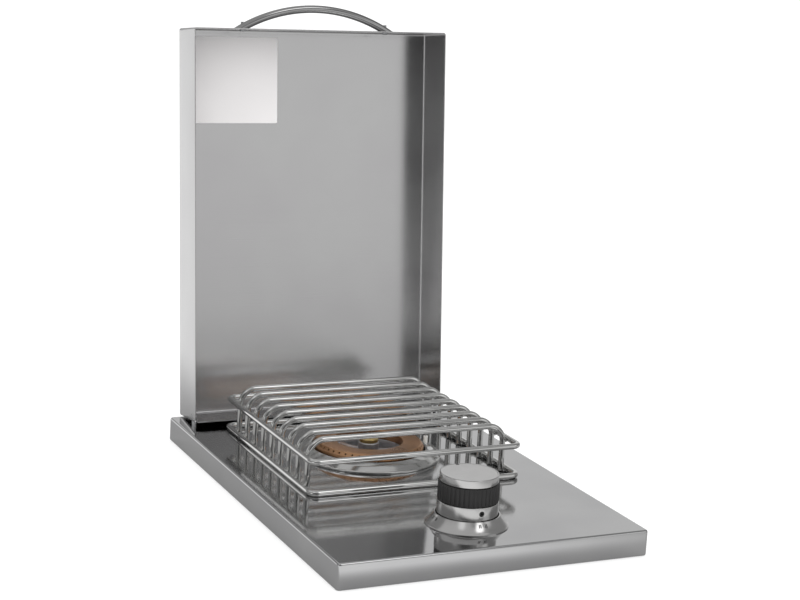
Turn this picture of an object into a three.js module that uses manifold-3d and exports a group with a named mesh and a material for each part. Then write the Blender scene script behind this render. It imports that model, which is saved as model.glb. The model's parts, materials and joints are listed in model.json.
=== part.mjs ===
// Built in side burner for an outdoor kitchen: a steel deck dropped into the counter, a hinged lid with a
// bowed handle, a rod grate over a ring burner, and a knob that is pushed and turned in front of it.
// Millimetres, +Z up and +Y to the back.  The origin is on the counter's surface, in the middle of the
// deck's front return flange.  The lid is drawn closed in its own group, which is turned back to open it.
import * as THREE from 'three';
import { mergeVertices } from 'three/addons/utils/BufferGeometryUtils.js';
import Module from 'manifold-3d';

// Gaps and cuts
const seatGap = 0.3; // between pieces that are fixed to or rest on each other
const turnGap = 0.3; // around a piece that turns or slides
const sweepGap = 0.4; // between a swinging edge and what it passes
const cutOver = 2; // how far a cut runs past the face it opens

// Deck: a pressed tray, open below, with a flange turned in along the bottom of its skirt
const deckWidth = 340;
const deckDepth = 504;
const deckHeight = 27;
const deckSheet = 1.5;
const deckCorner = 4;
const deckEdge = 2.5;
const returnFlange = 12;
const stemHoleRadius = 8;

// Lid: a tray turned over, pivoted just inside its rear wall
const lidSideMargin = 13.5; // of the deck beside the closed lid
const lidLength = 449.5;
const lidDepth = 57.5;
const lidSheet = 1.2;
const lidCorner = 3;
const lidEdge = 2.8;
const lidFromFront = 20.2; // from the deck's front edge to the closed lid
const lipGap = 0.3; // under the lid's lip when it is closed
const pivotInset = 6.5; // from the lid's rear face to the pivot
const pivotHeight = 11.2; // of the pivot over the deck
const handleRod = 9.5;
const handleSpan = 184;
const handleRise = 24.3;
const screwHeadRadius = 3.6;
const screwHeadHeight = 2.2;
const handleScrewRadius = 2;
const handleScrewBite = 8; // into the handle's end

// Hinge: an ear stands up through a slot in the deck at each side, and a pin joins it to the lid
const pinRadius = 2.2;
const earRadius = 4.6;
const earSheet = 2;
const earFootWidth = 12;
const earFootLength = 16;
const pinEndInside = 1.2; // of the pin past the ear

// Grate: upright bars bent from rod, between a lower and an upper ring of the same rod
const grateRod = 6.35;
const grateWidth = 242; // between the rings' centrelines
const grateDepth = 256;
const grateFromFront = 187; // from the deck's front edge to the rings' front centreline
const grateCorner = 9;
const upperRingHeight = 36.7;
const barCount = 9;
const barPitch = 25.6;
const barSetback = 2.5; // of the middle bar behind the rings' middle
const barHeight = 52.2; // of the bars' centreline over the deck
const barBend = 18;
const barFoot = 1; // of the legs' ends over the deck

// Drip pan: its rim rests on the deck round the hole, and it rises to a crest round the flame ring
const burnerFromFront = 315;
const panFlankReach = 11.6; // of the deck's hole outside the pan's wall
const panRimLap = 5.5; // of the rim past the deck's hole
const panRimFold = 1.2;
const panRimHeight = 2.6;
const panCrestHeight = 9.2;
const panCrestRound = 1.4;
const panRingGap = 1.9; // from the flame ring to the pan's wall
const panBoreRadius = 22;
const panSheet = 0.9;
const panFloorDrop = 6.5; // of the floor's upper face under the deck

// Ring burner: a cast bowl with spokes, a brass flame ring with ports, and a cap over the hub
const ringOuterRadius = 61.5;
const ringInnerRadius = 38;
const ringTop = 15.5;
const ringBase = 6;
const ringWall = 2;
const ringChamferWidth = 3.5;
const ringChamferHeight = 4;
const portCount = 48;
const portRadius = 1.1;
const bowlWall = 2.6;
const bowlDrop = 5; // of the bowl's underside below the deck
const bowlFloor = 2;
const hubRadius = 11.8;
const hubTop = 13.5;
const spokeCount = 6;
const spokeWidth = 8;
const spokeTop = 5;
const neckRadius = 15;
const neckDrop = 19; // of the neck's mouth below the deck
const capRadius = 10.6;
const capHeight = 6.5;
const capStemRadius = 4;
const capStemLength = 5;

// Igniter beside the flame ring, on a strap under the pan
const igniterFromWall = 7.1; // outside the pan's wall
const ceramicRadius = 2.4;
const ceramicTop = 14.5;
const ceramicDrop = 22;
const collarRadius = 4.4;
const collarHeight = 2.6;
const electrodeRadius = 0.8;
const electrodeLength = 4.2;
const electrodeBend = 2;
const sparkGap = 0.9; // from the electrode's tip to the flame ring's side
const strapSheet = 1.5;
const strapWidth = 12;
const strapDrop = 13; // of the strap's upper face below the deck

// Venturi tube from the valve to the burner, with a shutter round its mouth
const gasAxisDrop = 40; // of the gas line's centre below the deck
const venturiRadius = 12;
const venturiWall = 1.4;
const venturiBend = 20;
const mouthGap = 7; // from the orifice's nose to the tube
const windowWidth = 9;
const windowLength = 11;
const windowSetback = 4; // from the tube's mouth
const shutterLength = 18;
const shutterSheet = 1.2;

// Bracket that carries the venturi on the floor of the box
const bracketSheet = 1.5;
const bracketWidth = 44;
const bracketFoot = 26;
const bracketFromBurner = 42; // in front of the burner's centre
const saddleSideWall = 5;
const bracketScrewSpread = 28;
const bracketScrewRadius = 2;
const bracketScrewLength = 5;

// Knob: steel skirt, fluted grip and steel cap on a core, over a cone shaped bezel
const knobFromFront = 72;
const skirtRadius = 31.25;
const skirtHeight = 19.8;
const skirtWall = 1.5;
const skirtWeb = 2;
const gripRadius = 31;
const gripHeight = 18.7;
const gripFlutes = 40;
const fluteDepth = 0.8;
const knobCapRadius = 29.75;
const knobCapHeight = 8.6;
const knobCapChamfer = 0.7;
const coreRadius = 19;
const coreBoreDepth = 20;
const pointerWidth = 3.6;
const pointerLength = 4.2;
const pointerDepth = 0.5;
const setScrewRadius = 2.6;
const setScrewFromTop = 6; // of the screw's centre under the skirt's upper edge
const setScrewProud = 0.1;
const knobTravel = 3.5;
const bezelRadius = 42.5;
const bezelNeckRadius = 33.4;
const bezelHeight = 11.4;
const bezelWall = 1.1;
const bezelFoot = 0.9;
const bezelCurvePower = 1.3; // above one the flank is hollow
const bezelFloor = 1.2;
const bezelScrewSpread = 51.6;
const bezelScrewRadius = 1.7;
const bezelScrewHead = 2.9;
const bezelScrewHeadHeight = 1.6;

// Valve under the deck: body, bonnet with a spring cup, and the stem that carries the knob
const stemRadius = 3;
const stemFlat = 2.2; // from the stem's axis to its flat
const stemPlugRadius = 3.7;
const stemPlugLength = 5;
const stemCollarRadius = 4.6;
const stemCollarHeight = 1;
const stemCollarDrop = 2.2; // of the collar's upper face below the deck
const stemReach = 16; // into the knob's core
const washerRadius = 6.5;
const washerThickness = 1;
const cupRadius = 9;
const cupBoreRadius = 7.2;
const cupFloorDrop = 13.2;
const cupFloor = 2.5;
const bonnetPlateLength = 66;
const bonnetPlateWidth = 15;
const bonnetPlateSheet = 2;
const springWire = 0.8;
const springRadius = 5;
const springTurns = 3.5;
const valveWidth = 26;
const valveLength = 24;
const valveHeight = 36;
const valveBoreDepth = 20;
const bossRadius = 7;
const bossLength = 10;
const bossBore = 3.5;
const orificeRadius = 5.6;
const orificeHexLength = 6;
const orificeNoseRadius = 3.4;
const orificeNoseLength = 5;
const orificeBore = 0.9;
const piezoWidth = 15;
const piezoLength = 18;
const piezoHeight = 30;
const piezoNubRadius = 3;
const piezoNubLength = 6;

// Gas pipe along the right of the box, and the inlet fitting through its rear wall
const pipeRadius = 4.75;
const pipeWall = 1;
const pipeBend = 16;
const pipeOffset = 70; // of the long run from the centreline
const fittingRadius = 8;
const fittingBore = 4;
const fittingInside = 16;
const fittingOutside = 22;
const fittingHexRadius = 12;
const fittingHexLength = 7;
const nutRadius = 12.5;
const nutLength = 6;

// Burner box: five sheet panels with vents, welded under the deck between the hinge ears
const boxEarGap = 5; // from its flange to an ear
const boxFromFront = 24;
const boxLength = 454;
const boxDrop = 97; // of its floor below the deck
const boxSheet = 1;
const boxFlange = 10;
const ventCount = 6;
const ventPitch = 52;
const ventWidth = 7;
const ventLength = 38;
const ventDrop = 52; // of the vents' centres below the deck

// How finely round shapes are cut up
const fineSides = 32;
const roundSides = 20;
const smallSides = 8;
const tinySides = 6;
const portSides = 5;
const hexSides = 6;
const rodSides = 8;
const bendSteps = 2;
const handleSteps = 7;
const edgeSteps = 2;
const bezelSteps = 3;
const springSides = 5;
const springSteps = 8; // to a turn

// Finishes
const brushedSteel = { color: 0xb4b3b3, roughness: 0.36, metalness: 1 };
const polishedRod = { color: 0xc8c8c8, roughness: 0.2, metalness: 1 };
const zincSteel = { color: 0xa5a8ab, roughness: 0.45, metalness: 1 };
const castAluminium = { color: 0xb0b2b3, roughness: 0.5, metalness: 1 };
const bronze = { color: 0x9a6f4c, roughness: 0.42, metalness: 1 };
const brass = { color: 0xc9a650, roughness: 0.35, metalness: 1 };
const ceramic = { color: 0xe8e4da, roughness: 0.5, metalness: 0 };
const blackPlastic = { color: 0x262526, roughness: 0.5, metalness: 0 };

// Places worked out from the sizes above
const deckTop = deckHeight;
const panWallRadius = ringOuterRadius + panRingGap;
const panHoleRadius = panWallRadius + panFlankReach;
const panRimRadius = panHoleRadius + panRimLap;
const igniterReach = panWallRadius + igniterFromWall; // from the burner's centre
const frontEdge = -returnFlange / 2;
const fromFront = (distance) => frontEdge + distance;
const overDeck = (height) => deckTop + height;
const underDeck = (drop) => deckTop - drop;
const deckUnderside = deckTop - deckSheet;
const lidWidth = deckWidth - 2 * lidSideMargin;
const earOuter = lidWidth / 2 - lidSheet - turnGap;
const boxWidth = 2 * (earOuter - earSheet - boxEarGap - boxFlange);
const knobY = fromFront(knobFromFront);
const burnerY = fromFront(burnerFromFront);
const pivotY = fromFront(lidFromFront + lidLength - pivotInset);
const knobBase = seatGap + bezelFloor + turnGap + knobTravel; // of the knob's lower edge over the deck
const gasZ = underDeck(gasAxisDrop);

// The lid opens until its rounded rear edge comes down on the deck, past upright
const edgeAhead = pivotInset - lidEdge;
const edgeAbove = lidDepth - lidEdge - (pivotHeight - lipGap);
const edgeReach = Math.hypot(edgeAhead, edgeAbove);
const restTilt = Math.acos((seatGap + lidEdge - pivotHeight) / edgeReach);
const openAngle = restTilt - Math.atan2(edgeAhead, edgeAbove);

const wasm = await Module();
wasm.setup();

// A mesh with its doubled points merged, its collapsed faces dropped and its faces pointing out.
function tidied(geometry) {
  const bare = geometry.clone();
  bare.deleteAttribute('normal');
  bare.deleteAttribute('uv');
  const merged = mergeVertices(bare);
  const corners = merged.index.array;
  const point = merged.attributes.position;
  const at = [0, 1, 2].map(() => new THREE.Vector3());
  let faces = [];
  let volume = 0;
  for (let face = 0; face < corners.length; face += at.length) {
    const [a, b, c] = corners.slice(face, face + at.length);
    if (a === b || b === c || c === a) continue;
    faces.push(a, b, c);
    [a, b, c].forEach((corner, i) => at[i].fromBufferAttribute(point, corner));
    volume += at[0].dot(at[1].cross(at[2]));
  }
  if (volume < 0) faces = faces.reverse();
  merged.setIndex(faces);
  return merged;
}

function toSolid(geometry) {
  const closed = tidied(geometry);
  const vertProperties = new Float32Array(closed.attributes.position.array);
  const triVerts = new Uint32Array(closed.index.array);
  return new wasm.Manifold(new wasm.Mesh({ numProp: 3, vertProperties, triVerts }));
}

function fromSolid(solid) {
  const { vertProperties, triVerts, numProp } = solid.getMesh();
  const geometry = new THREE.BufferGeometry();
  geometry.setAttribute('position', new THREE.BufferAttribute(new Float32Array(vertProperties), numProp));
  geometry.setIndex(new THREE.BufferAttribute(new Uint32Array(triVerts), 1));
  return geometry;
}

function joined(...geometries) {
  return fromSolid(geometries.map(toSolid).reduce((whole, next) => whole.add(next)));
}

function cut(geometry, ...tools) {
  return fromSolid(tools.map(toSolid).reduce((left, tool) => left.subtract(tool), toSolid(geometry)));
}

function kept(geometry, region) {
  return fromSolid(toSolid(geometry).intersect(toSolid(region)));
}

// A block by its size, the middle of its plan and the height of its underside.
function block(width, length, height, x, y, base) {
  return new THREE.BoxGeometry(width, length, height).translate(x, y, base + height / 2);
}

// The corner radius of a many sided hole that is open to the given radius across its flats.
function openRadius(radius, sides) {
  return radius / Math.cos(Math.PI / sides);
}

// An upright cylinder by its radius, height, centre and underside.
function drum(radius, height, x, y, base, sides = roundSides) {
  const geometry = new THREE.CylinderGeometry(radius, radius, height, sides).rotateX(Math.PI / 2);
  return geometry.translate(x, y, base + height / 2);
}

// A cylinder along Y, from its near end.
function barrel(radius, length, x, near, z, sides = smallSides) {
  return new THREE.CylinderGeometry(radius, radius, length, sides).translate(x, near + length / 2, z);
}

// A cylinder along X, from its left end.
function axle(radius, length, left, y, z, sides = smallSides) {
  const geometry = new THREE.CylinderGeometry(radius, radius, length, sides).rotateZ(Math.PI / 2);
  return geometry.translate(left + length / 2, y, z);
}

// A profile of [radius, height] pairs turned about the Z axis.  It starts and ends there or is closed here.
function turned(profile, sides = roundSides) {
  const ring = profile[0][0] > 0 ? [...profile, profile[0]] : profile;
  const points = ring.map(([radius, height]) => new THREE.Vector2(radius, height));
  return new THREE.LatheGeometry(points, sides).rotateX(Math.PI / 2);
}

// Rings of points joined into one skin, with flat ends or closed on itself.
function skin(rings, closed = false) {
  const count = rings[0].length;
  const index = [];
  const lastRing = closed ? rings.length : rings.length - 1;
  for (let ring = 0; ring < lastRing; ring += 1) {
    const next = (ring + 1) % rings.length;
    for (let side = 0; side < count; side += 1) {
      const across = (side + 1) % count;
      const [a, b] = [ring * count + side, ring * count + across];
      const [c, d] = [next * count + side, next * count + across];
      index.push(a, b, d, a, d, c);
    }
  }
  const top = (rings.length - 1) * count;
  for (let side = 1; !closed && side < count - 1; side += 1) {
    index.push(0, side + 1, side, top, top + side, top + side + 1);
  }
  const geometry = new THREE.BufferGeometry().setFromPoints(rings.flat());
  geometry.setIndex(index);
  return tidied(geometry);
}

// A round rod bent along a flat path.  place carries the path's plane into space, and each ring of points
// is mitred across its bend so that the rod keeps its thickness.
function bentRod(path, radius, place, { closed = false, sides = rodSides, steps = bendSteps } = {}) {
  let points = path.getPoints(steps);
  points = points.filter((point, i) => i === 0 || point.distanceTo(points[i - 1]) > radius / points.length);
  if (closed && points[0].distanceTo(points[points.length - 1]) < radius / points.length) points.pop();
  const last = points.length - 1;
  const rings = points.map((point, i) => {
    const before = points[i > 0 ? i - 1 : closed ? last : 0];
    const after = points[i < last ? i + 1 : closed ? 0 : last];
    const into = point.clone().sub(before);
    const out = after.clone().sub(point);
    if (into.length() === 0) into.copy(out);
    if (out.length() === 0) out.copy(into);
    const along = into.normalize().clone().add(out.normalize()).normalize();
    const stretch = 1 / along.dot(into);
    return Array.from({ length: sides }, (_, side) => {
      const turn = (2 * Math.PI * (side + 1 / 2)) / sides;
      const across = radius * Math.cos(turn) * stretch;
      return place(point.x - along.y * across, point.y + along.x * across, radius * Math.sin(turn));
    });
  });
  return skin(rings, closed);
}

const inPlan = (z) => (u, v, w) => new THREE.Vector3(u, v, z + w);
const acrossFront = (y) => (u, v, w) => new THREE.Vector3(u, y + w, v);
const alongSide = (x) => (u, v, w) => new THREE.Vector3(x + w, u, v);

// A flat outline in Y and Z, made into a plate of the given thickness along X.
function sidePlate(shape, thickness, left) {
  const options = { depth: thickness, bevelEnabled: false, curveSegments: smallSides / 2 };
  const geometry = new THREE.ExtrudeGeometry(shape, options);
  return geometry.rotateX(Math.PI / 2).rotateZ(Math.PI / 2).translate(left, 0, 0);
}

// A flat outline in X and Y, made into a plate that stands on the given height.
function floorPlate(shape, thickness, base, curveSegments = bendSteps) {
  return new THREE.ExtrudeGeometry(shape, { depth: thickness, bevelEnabled: false, curveSegments })
    .translate(0, 0, base);
}

function roundedRectangle(width, length, radius) {
  const [x, y] = [width / 2 - radius, length / 2 - radius];
  const quarter = Math.PI / 2;
  const outline = new THREE.Shape();
  outline.absarc(x, y, radius, 0, quarter);
  outline.absarc(-x, y, radius, quarter, Math.PI);
  outline.absarc(-x, -y, radius, Math.PI, Math.PI + quarter);
  outline.absarc(x, -y, radius, -quarter, 0);
  return outline;
}

// A block with rounded upright corners and a rounded top edge, standing on z = 0 about the Z axis.
function roundedBlock(width, length, height, corner, edge) {
  const levels = [[0, 0]];
  for (let step = 0; step <= edgeSteps; step += 1) {
    const turn = (Math.PI / 2) * (step / edgeSteps);
    levels.push([edge - edge * Math.cos(turn), height - edge + edge * Math.sin(turn)]);
  }
  return skin(levels.map(([inset, level]) => {
    const outline = roundedRectangle(width - 2 * inset, length - 2 * inset, corner - inset);
    return outline.getPoints(edgeSteps).map((point) => new THREE.Vector3(point.x, point.y, level));
  }));
}

// A stadium outline: a slot of the given length and width, with round ends.
function slotShape(length, width) {
  const [run, radius] = [(length - width) / 2, width / 2];
  const slot = new THREE.Shape();
  slot.absarc(run, 0, radius, -Math.PI / 2, Math.PI / 2);
  slot.absarc(-run, 0, radius, Math.PI / 2, (3 * Math.PI) / 2);
  return slot;
}

// A pan head screw along Z: head standing on z = 0, shank below it.
function panScrew(shankRadius, shankLength, headRadius, headHeight) {
  return turned([
    [0, -shankLength], [shankRadius, -shankLength], [shankRadius, 0], [headRadius, 0],
    [headRadius, headHeight / 2], [headRadius / Math.SQRT2, headHeight], [0, headHeight],
  ], smallSides);
}

function piece(name, geometry, look) {
  const mesh = new THREE.Mesh(tidied(geometry), new THREE.MeshStandardMaterial(look));
  mesh.geometry.computeVertexNormals();
  mesh.name = name;
  return mesh;
}

// Deck
const sides = [['left', -1], ['right', 1]];
const earMiddle = earOuter - earSheet / 2;

function makeDeck() {
  const shell = roundedBlock(deckWidth, deckDepth, deckHeight, deckCorner, deckEdge);
  const hollow = roundedBlock(
    deckWidth - 2 * deckSheet, deckDepth - 2 * deckSheet, deckHeight - 2 * deckSheet,
    deckCorner - deckSheet, deckEdge - deckSheet,
  ).translate(0, 0, deckSheet);
  const [mouthWidth, mouthDepth] = [deckWidth - 2 * returnFlange, deckDepth - 2 * returnFlange];
  const mouth = block(mouthWidth, mouthDepth, deckSheet + cutOver, 0, 0, -cutOver / 2);
  const middle = frontEdge + deckDepth / 2;
  const through = deckSheet + 2 * cutOver;
  const base = deckUnderside - cutOver;
  const openings = [
    drum(panHoleRadius, through, 0, burnerY, base, fineSides),
    drum(stemHoleRadius, through, 0, knobY, base),
  ];
  for (const [, side] of sides) {
    const screwX = side * bezelScrewSpread / 2;
    openings.push(drum(bezelScrewRadius + seatGap, through, screwX, knobY, base, smallSides));
    const slotWidth = earSheet + 2 * seatGap;
    openings.push(block(slotWidth, 2 * (earRadius + seatGap), through, side * earMiddle, pivotY, base));
  }
  return piece('deck', cut(cut(shell, hollow, mouth).translate(0, middle, 0), ...openings), brushedSteel);
}

// Burner box: a floor, vented side walls with flanges under the deck, and two end walls
const boxHeight = boxDrop - deckSheet - seatGap;
const boxMiddle = fromFront(boxFromFront + boxLength / 2);
const boxWallHeight = boxHeight - boxSheet - seatGap;

function boxPanel(name, body) {
  return piece(name, body.translate(0, boxMiddle, underDeck(boxDrop)), zincSteel);
}

function makeBoxFloor() {
  const floor = block(boxWidth, boxLength, boxSheet, 0, 0, 0);
  const holes = sides.map(([, side]) => drum(
    bracketScrewRadius + seatGap, boxSheet + 2 * cutOver,
    side * bracketScrewSpread / 2, bracketY - boxMiddle, -cutOver, smallSides,
  ));
  return boxPanel('burner_box_floor', cut(floor, ...holes));
}

function makeBoxSide(name, side) {
  const foot = boxSheet + seatGap;
  const inner = boxWidth / 2 - boxSheet;
  const flangeWidth = boxFlange + boxSheet;
  const wall = block(boxSheet, boxLength, boxWallHeight, side * (inner + boxSheet / 2), 0, foot);
  const flangeX = side * (inner + flangeWidth / 2);
  const flange = block(flangeWidth, boxLength, boxSheet, flangeX, 0, boxHeight - boxSheet);
  const vents = [];
  const first = -(ventPitch * (ventCount - 1)) / 2;
  for (let vent = 0; vent < ventCount; vent += 1) {
    const slot = floorPlate(slotShape(ventLength, ventWidth), boxWidth + 2 * cutOver, 0);
    const slotY = first + vent * ventPitch;
    slot.rotateY(Math.PI / 2).translate(-boxWidth / 2 - cutOver, slotY, boxDrop - ventDrop);
    vents.push(slot);
  }
  return boxPanel(`burner_box_${name}`, cut(joined(wall, flange), ...vents));
}

function makeBoxEnd(name, end, ...holes) {
  const foot = boxSheet + seatGap;
  const inner = boxLength / 2 - boxSheet;
  const width = boxWidth - 2 * boxSheet - 2 * seatGap;
  const flangeLength = boxFlange + boxSheet;
  const wall = block(width, boxSheet, boxWallHeight, 0, end * (inner + boxSheet / 2), foot);
  const flangeY = end * (inner + flangeLength / 2);
  const flange = block(width, flangeLength, boxSheet, 0, flangeY, boxHeight - boxSheet);
  const body = joined(wall, flange);
  return boxPanel(`burner_box_${name}`, holes.length > 0 ? cut(body, ...holes) : body);
}

function makeBox() {
  const back = boxLength / 2 - boxSheet - cutOver;
  const inletZ = boxDrop - gasAxisDrop;
  const inletHole = barrel(fittingRadius + seatGap, boxSheet + 2 * cutOver, pipeOffset, back, inletZ);
  const walls = sides.map(([name, side]) => makeBoxSide(name, side));
  return [makeBoxFloor(), ...walls, makeBoxEnd('front', -1), makeBoxEnd('rear', 1, inletHole)];
}

// Lid, handle and hinge, drawn closed with the pivot at the origin
function makeLid() {
  const lip = lipGap - pivotHeight;
  const middle = pivotInset - lidLength / 2;
  const shell = roundedBlock(lidWidth, lidLength, lidDepth, lidCorner, lidEdge);
  const hollow = roundedBlock(
    lidWidth - 2 * lidSheet, lidLength - 2 * lidSheet, lidDepth - lidSheet + cutOver,
    lidCorner - lidSheet, lidEdge - lidSheet,
  ).translate(0, 0, -cutOver);
  const tray = cut(shell, hollow).translate(0, middle, lip);
  // behind the pivot the lip follows an arc, so that it clears the deck as the lid swings
  const reach = pivotInset + cutOver;
  const behind = block(lidWidth + 2 * cutOver, reach, pivotHeight, 0, reach / 2, -pivotHeight);
  const rollWidth = lidWidth + 4 * cutOver;
  const roll = axle(pivotHeight - sweepGap, rollWidth, -rollWidth / 2, 0, 0, roundSides);
  const tools = [cut(behind, roll)];
  for (const [, side] of sides) {
    // the ear stands in this notch of the rear wall when the lid is open
    const notchInner = earOuter - earSheet - turnGap;
    const notchWidth = lidWidth / 2 - lidSheet - notchInner;
    const notchTop = (earRadius - pivotInset * Math.cos(openAngle)) / Math.sin(openAngle) + sweepGap;
    const notchX = side * (notchInner + notchWidth / 2);
    const wall = lidCorner + cutOver;
    const notchY = pivotInset - lidCorner + wall / 2;
    tools.push(block(notchWidth, wall, pivotHeight + notchTop, notchX, notchY, -pivotHeight));
    tools.push(axle(pinRadius + seatGap, 2 * cutOver, side * lidWidth / 2 - cutOver, 0, 0));
    const screwY = lidFrontFace - cutOver / 2;
    tools.push(barrel(handleScrewRadius + seatGap, 2 * cutOver, side * handleFoot, screwY, handleHeight));
  }
  return piece('lid', cut(tray, ...tools), brushedSteel);
}

const lidFrontFace = pivotInset - lidLength;
const handleHeight = lipGap - pivotHeight + lidDepth / 2;
const handleBow = (handleSpan ** 2 / 4 + handleRise ** 2) / (2 * handleRise); // radius of the bar's arc
const handleFoot = handleSpan / 2 - handleRod / 4;

function makeHandle() {
  const bow = Math.asin((handleSpan / 2) / handleBow);
  const over = bow + handleRod / handleBow;
  const path = new THREE.Path();
  const centre = lidFrontFace - handleRise + handleBow;
  path.absarc(0, centre, handleBow, -Math.PI / 2 - over, -Math.PI / 2 + over);
  const bar = bentRod(path, handleRod / 2, inPlan(handleHeight), { steps: handleSteps });
  const tall = handleRod + 2 * cutOver;
  const room = handleRise + 2 * handleRod;
  const roomY = lidFrontFace - seatGap - room / 2;
  const front = block(handleSpan + 4 * handleRod, room, tall, 0, roomY, handleHeight - tall / 2);
  const trimmed = kept(bar, front);
  const holes = sides.map(([, side]) => barrel(
    handleScrewRadius + seatGap, handleScrewBite + cutOver + seatGap,
    side * handleFoot, lidFrontFace - handleScrewBite - seatGap, handleHeight, tinySides,
  ));
  return piece('lid_handle', cut(trimmed, ...holes), brushedSteel);
}

function makeHandleScrew(name, side) {
  const shank = handleScrewBite + lidSheet + seatGap;
  const screw = panScrew(handleScrewRadius, shank, screwHeadRadius, screwHeadHeight).rotateX(-Math.PI / 2);
  const head = lidFrontFace + lidSheet + seatGap;
  return piece(name, screw.translate(side * handleFoot, head, handleHeight), zincSteel);
}

function makeHingePin(name, side) {
  const length = lidSheet + turnGap + earSheet + pinEndInside;
  const left = side > 0 ? lidWidth / 2 - length : -lidWidth / 2;
  return piece(name, axle(pinRadius, length, left, 0, 0), zincSteel);
}

// Hinge ear: its eye takes the pin, and its foot lies against the underside of the deck
function makeEar(name, side) {
  const eyeZ = overDeck(pivotHeight);
  const footTop = deckUnderside - seatGap;
  const outline = new THREE.Shape();
  outline.absarc(0, 0, earRadius, 0, Math.PI);
  outline.lineTo(-earRadius, footTop - earSheet - eyeZ);
  outline.lineTo(earRadius, footTop - earSheet - eyeZ);
  const bore = new THREE.Path();
  bore.absarc(0, 0, openRadius(pinRadius + turnGap, smallSides), 0, 2 * Math.PI);
  outline.holes.push(bore);
  const left = side * earMiddle - earSheet / 2;
  const upright = sidePlate(outline, earSheet, left).translate(0, pivotY, eyeZ);
  const footX = side * (earOuter - earSheet + earFootWidth / 2);
  const foot = block(earFootWidth, earFootLength, earSheet, footX, pivotY, footTop - earSheet);
  return piece(name, joined(upright, foot), zincSteel);
}

// Grate
const ringRadius = grateRod / 2;
const rodCorner = openRadius(ringRadius, rodSides); // the rod is full size across its flats
const grateMiddle = fromFront(grateFromFront + grateDepth / 2);

function makeGrateRing(name, height) {
  const path = roundedRectangle(grateWidth, grateDepth, grateCorner);
  const ring = bentRod(path, rodCorner, inPlan(overDeck(height)), { closed: true });
  return piece(name, ring.translate(0, grateMiddle, 0), polishedRod);
}

function makeBar(number) {
  const legX = grateWidth / 2 - grateRod - seatGap;
  const bendX = legX - barBend;
  const bendZ = barHeight - barBend;
  const path = new THREE.Path();
  path.moveTo(-legX, barFoot);
  path.lineTo(-legX, bendZ);
  path.absarc(-bendX, bendZ, barBend, Math.PI, Math.PI / 2, true);
  path.absarc(bendX, bendZ, barBend, Math.PI / 2, 0, true);
  path.lineTo(legX, barFoot);
  const y = grateMiddle + barSetback + (number - (barCount + 1) / 2) * barPitch;
  const bar = bentRod(path, rodCorner, acrossFront(y)).translate(0, 0, deckTop);
  return piece(`grate_bar_${number}`, bar, polishedRod);
}

// Drip pan: a dome from its rim up to a crest, a wall down inside it and a floor round the burner's neck
function makePan() {
  const floor = -panFloorDrop;
  const [fold, outside] = [panRimRadius - panRimFold, panWallRadius + panSheet];
  const [crest, shoulder] = [panWallRadius + panCrestRound, panWallRadius + 2 * panCrestRound];
  const [wallTop, flankTop] = [panCrestHeight - panCrestRound, panCrestHeight - panCrestRound / 2];
  const pan = turned([
    [panRimRadius, seatGap], [panRimRadius, seatGap + panRimFold], [fold, panRimHeight],
    [shoulder, flankTop], [crest, panCrestHeight], [panWallRadius, wallTop], [panWallRadius, floor],
    [panBoreRadius, floor], [panBoreRadius, floor - panSheet], [outside, floor - panSheet],
    [outside, wallTop - panSheet / 2], [shoulder, flankTop - panSheet], [fold, panRimHeight - panSheet],
    [fold, seatGap],
  ], fineSides);
  const holeRadius = ceramicRadius + seatGap;
  const igniterHole = drum(holeRadius, panCrestHeight + cutOver, igniterReach, 0, 0, smallSides);
  return piece('drip_pan', cut(pan, igniterHole).translate(0, burnerY, deckTop), polishedRod);
}

// Burner bowl: a ring shaped channel under the flame ring
function makeBowl() {
  const top = ringBase - seatGap;
  const under = -bowlDrop;
  const outer = ringOuterRadius - seatGap;
  const [inner, inside] = [ringInnerRadius + bowlWall, outer - bowlWall];
  const channel = turned([
    [ringInnerRadius, under], [inside, under], [outer, under + bowlWall], [outer, top], [inside, top],
    [inside, under + bowlFloor], [inner, under + bowlFloor], [inner, top], [ringInnerRadius, top],
  ], fineSides);
  return piece('burner_bowl', channel.translate(0, burnerY, deckTop), castAluminium);
}

// Spider: spokes inside the bowl, the middle that they meet in, and a neck down to the venturi
function makeSpider() {
  const under = -bowlDrop;
  const height = spokeTop - under;
  const solids = [drum(hubRadius, height, 0, 0, under), drum(neckRadius, neckDrop + under, 0, 0, -neckDrop)];
  const bowlFlats = ringInnerRadius * Math.cos(Math.PI / fineSides);
  const reach = Math.sqrt((bowlFlats - seatGap) ** 2 - (spokeWidth / 2) ** 2);
  const [start, length] = [hubRadius / 2, reach - hubRadius / 2];
  for (let spoke = 0; spoke < spokeCount; spoke += 1) {
    const arm = block(spokeWidth, length, height, 0, start + length / 2, under);
    solids.push(arm.rotateZ((2 * Math.PI * (spoke + 1 / 2)) / spokeCount));
  }
  const boreDepth = neckDrop - bowlDrop - bowlFloor;
  const bore = drum(venturiRadius + seatGap, boreDepth + cutOver, 0, 0, -neckDrop - cutOver);
  const spider = cut(joined(...solids), bore);
  return piece('burner_spider', spider.translate(0, burnerY, deckTop), castAluminium);
}

// Hub: a boss on the middle of the spokes, with a socket for the cap's stem
function makeHub() {
  const base = spokeTop + seatGap;
  const socketDepth = capStemLength + seatGap;
  const socketRadius = openRadius(capStemRadius + seatGap, smallSides);
  const socket = drum(socketRadius, socketDepth + cutOver, 0, 0, hubTop - socketDepth, smallSides);
  const hub = cut(drum(hubRadius, hubTop - base, 0, 0, base), socket);
  return piece('burner_hub', hub.translate(0, burnerY, deckTop), castAluminium);
}

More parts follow.
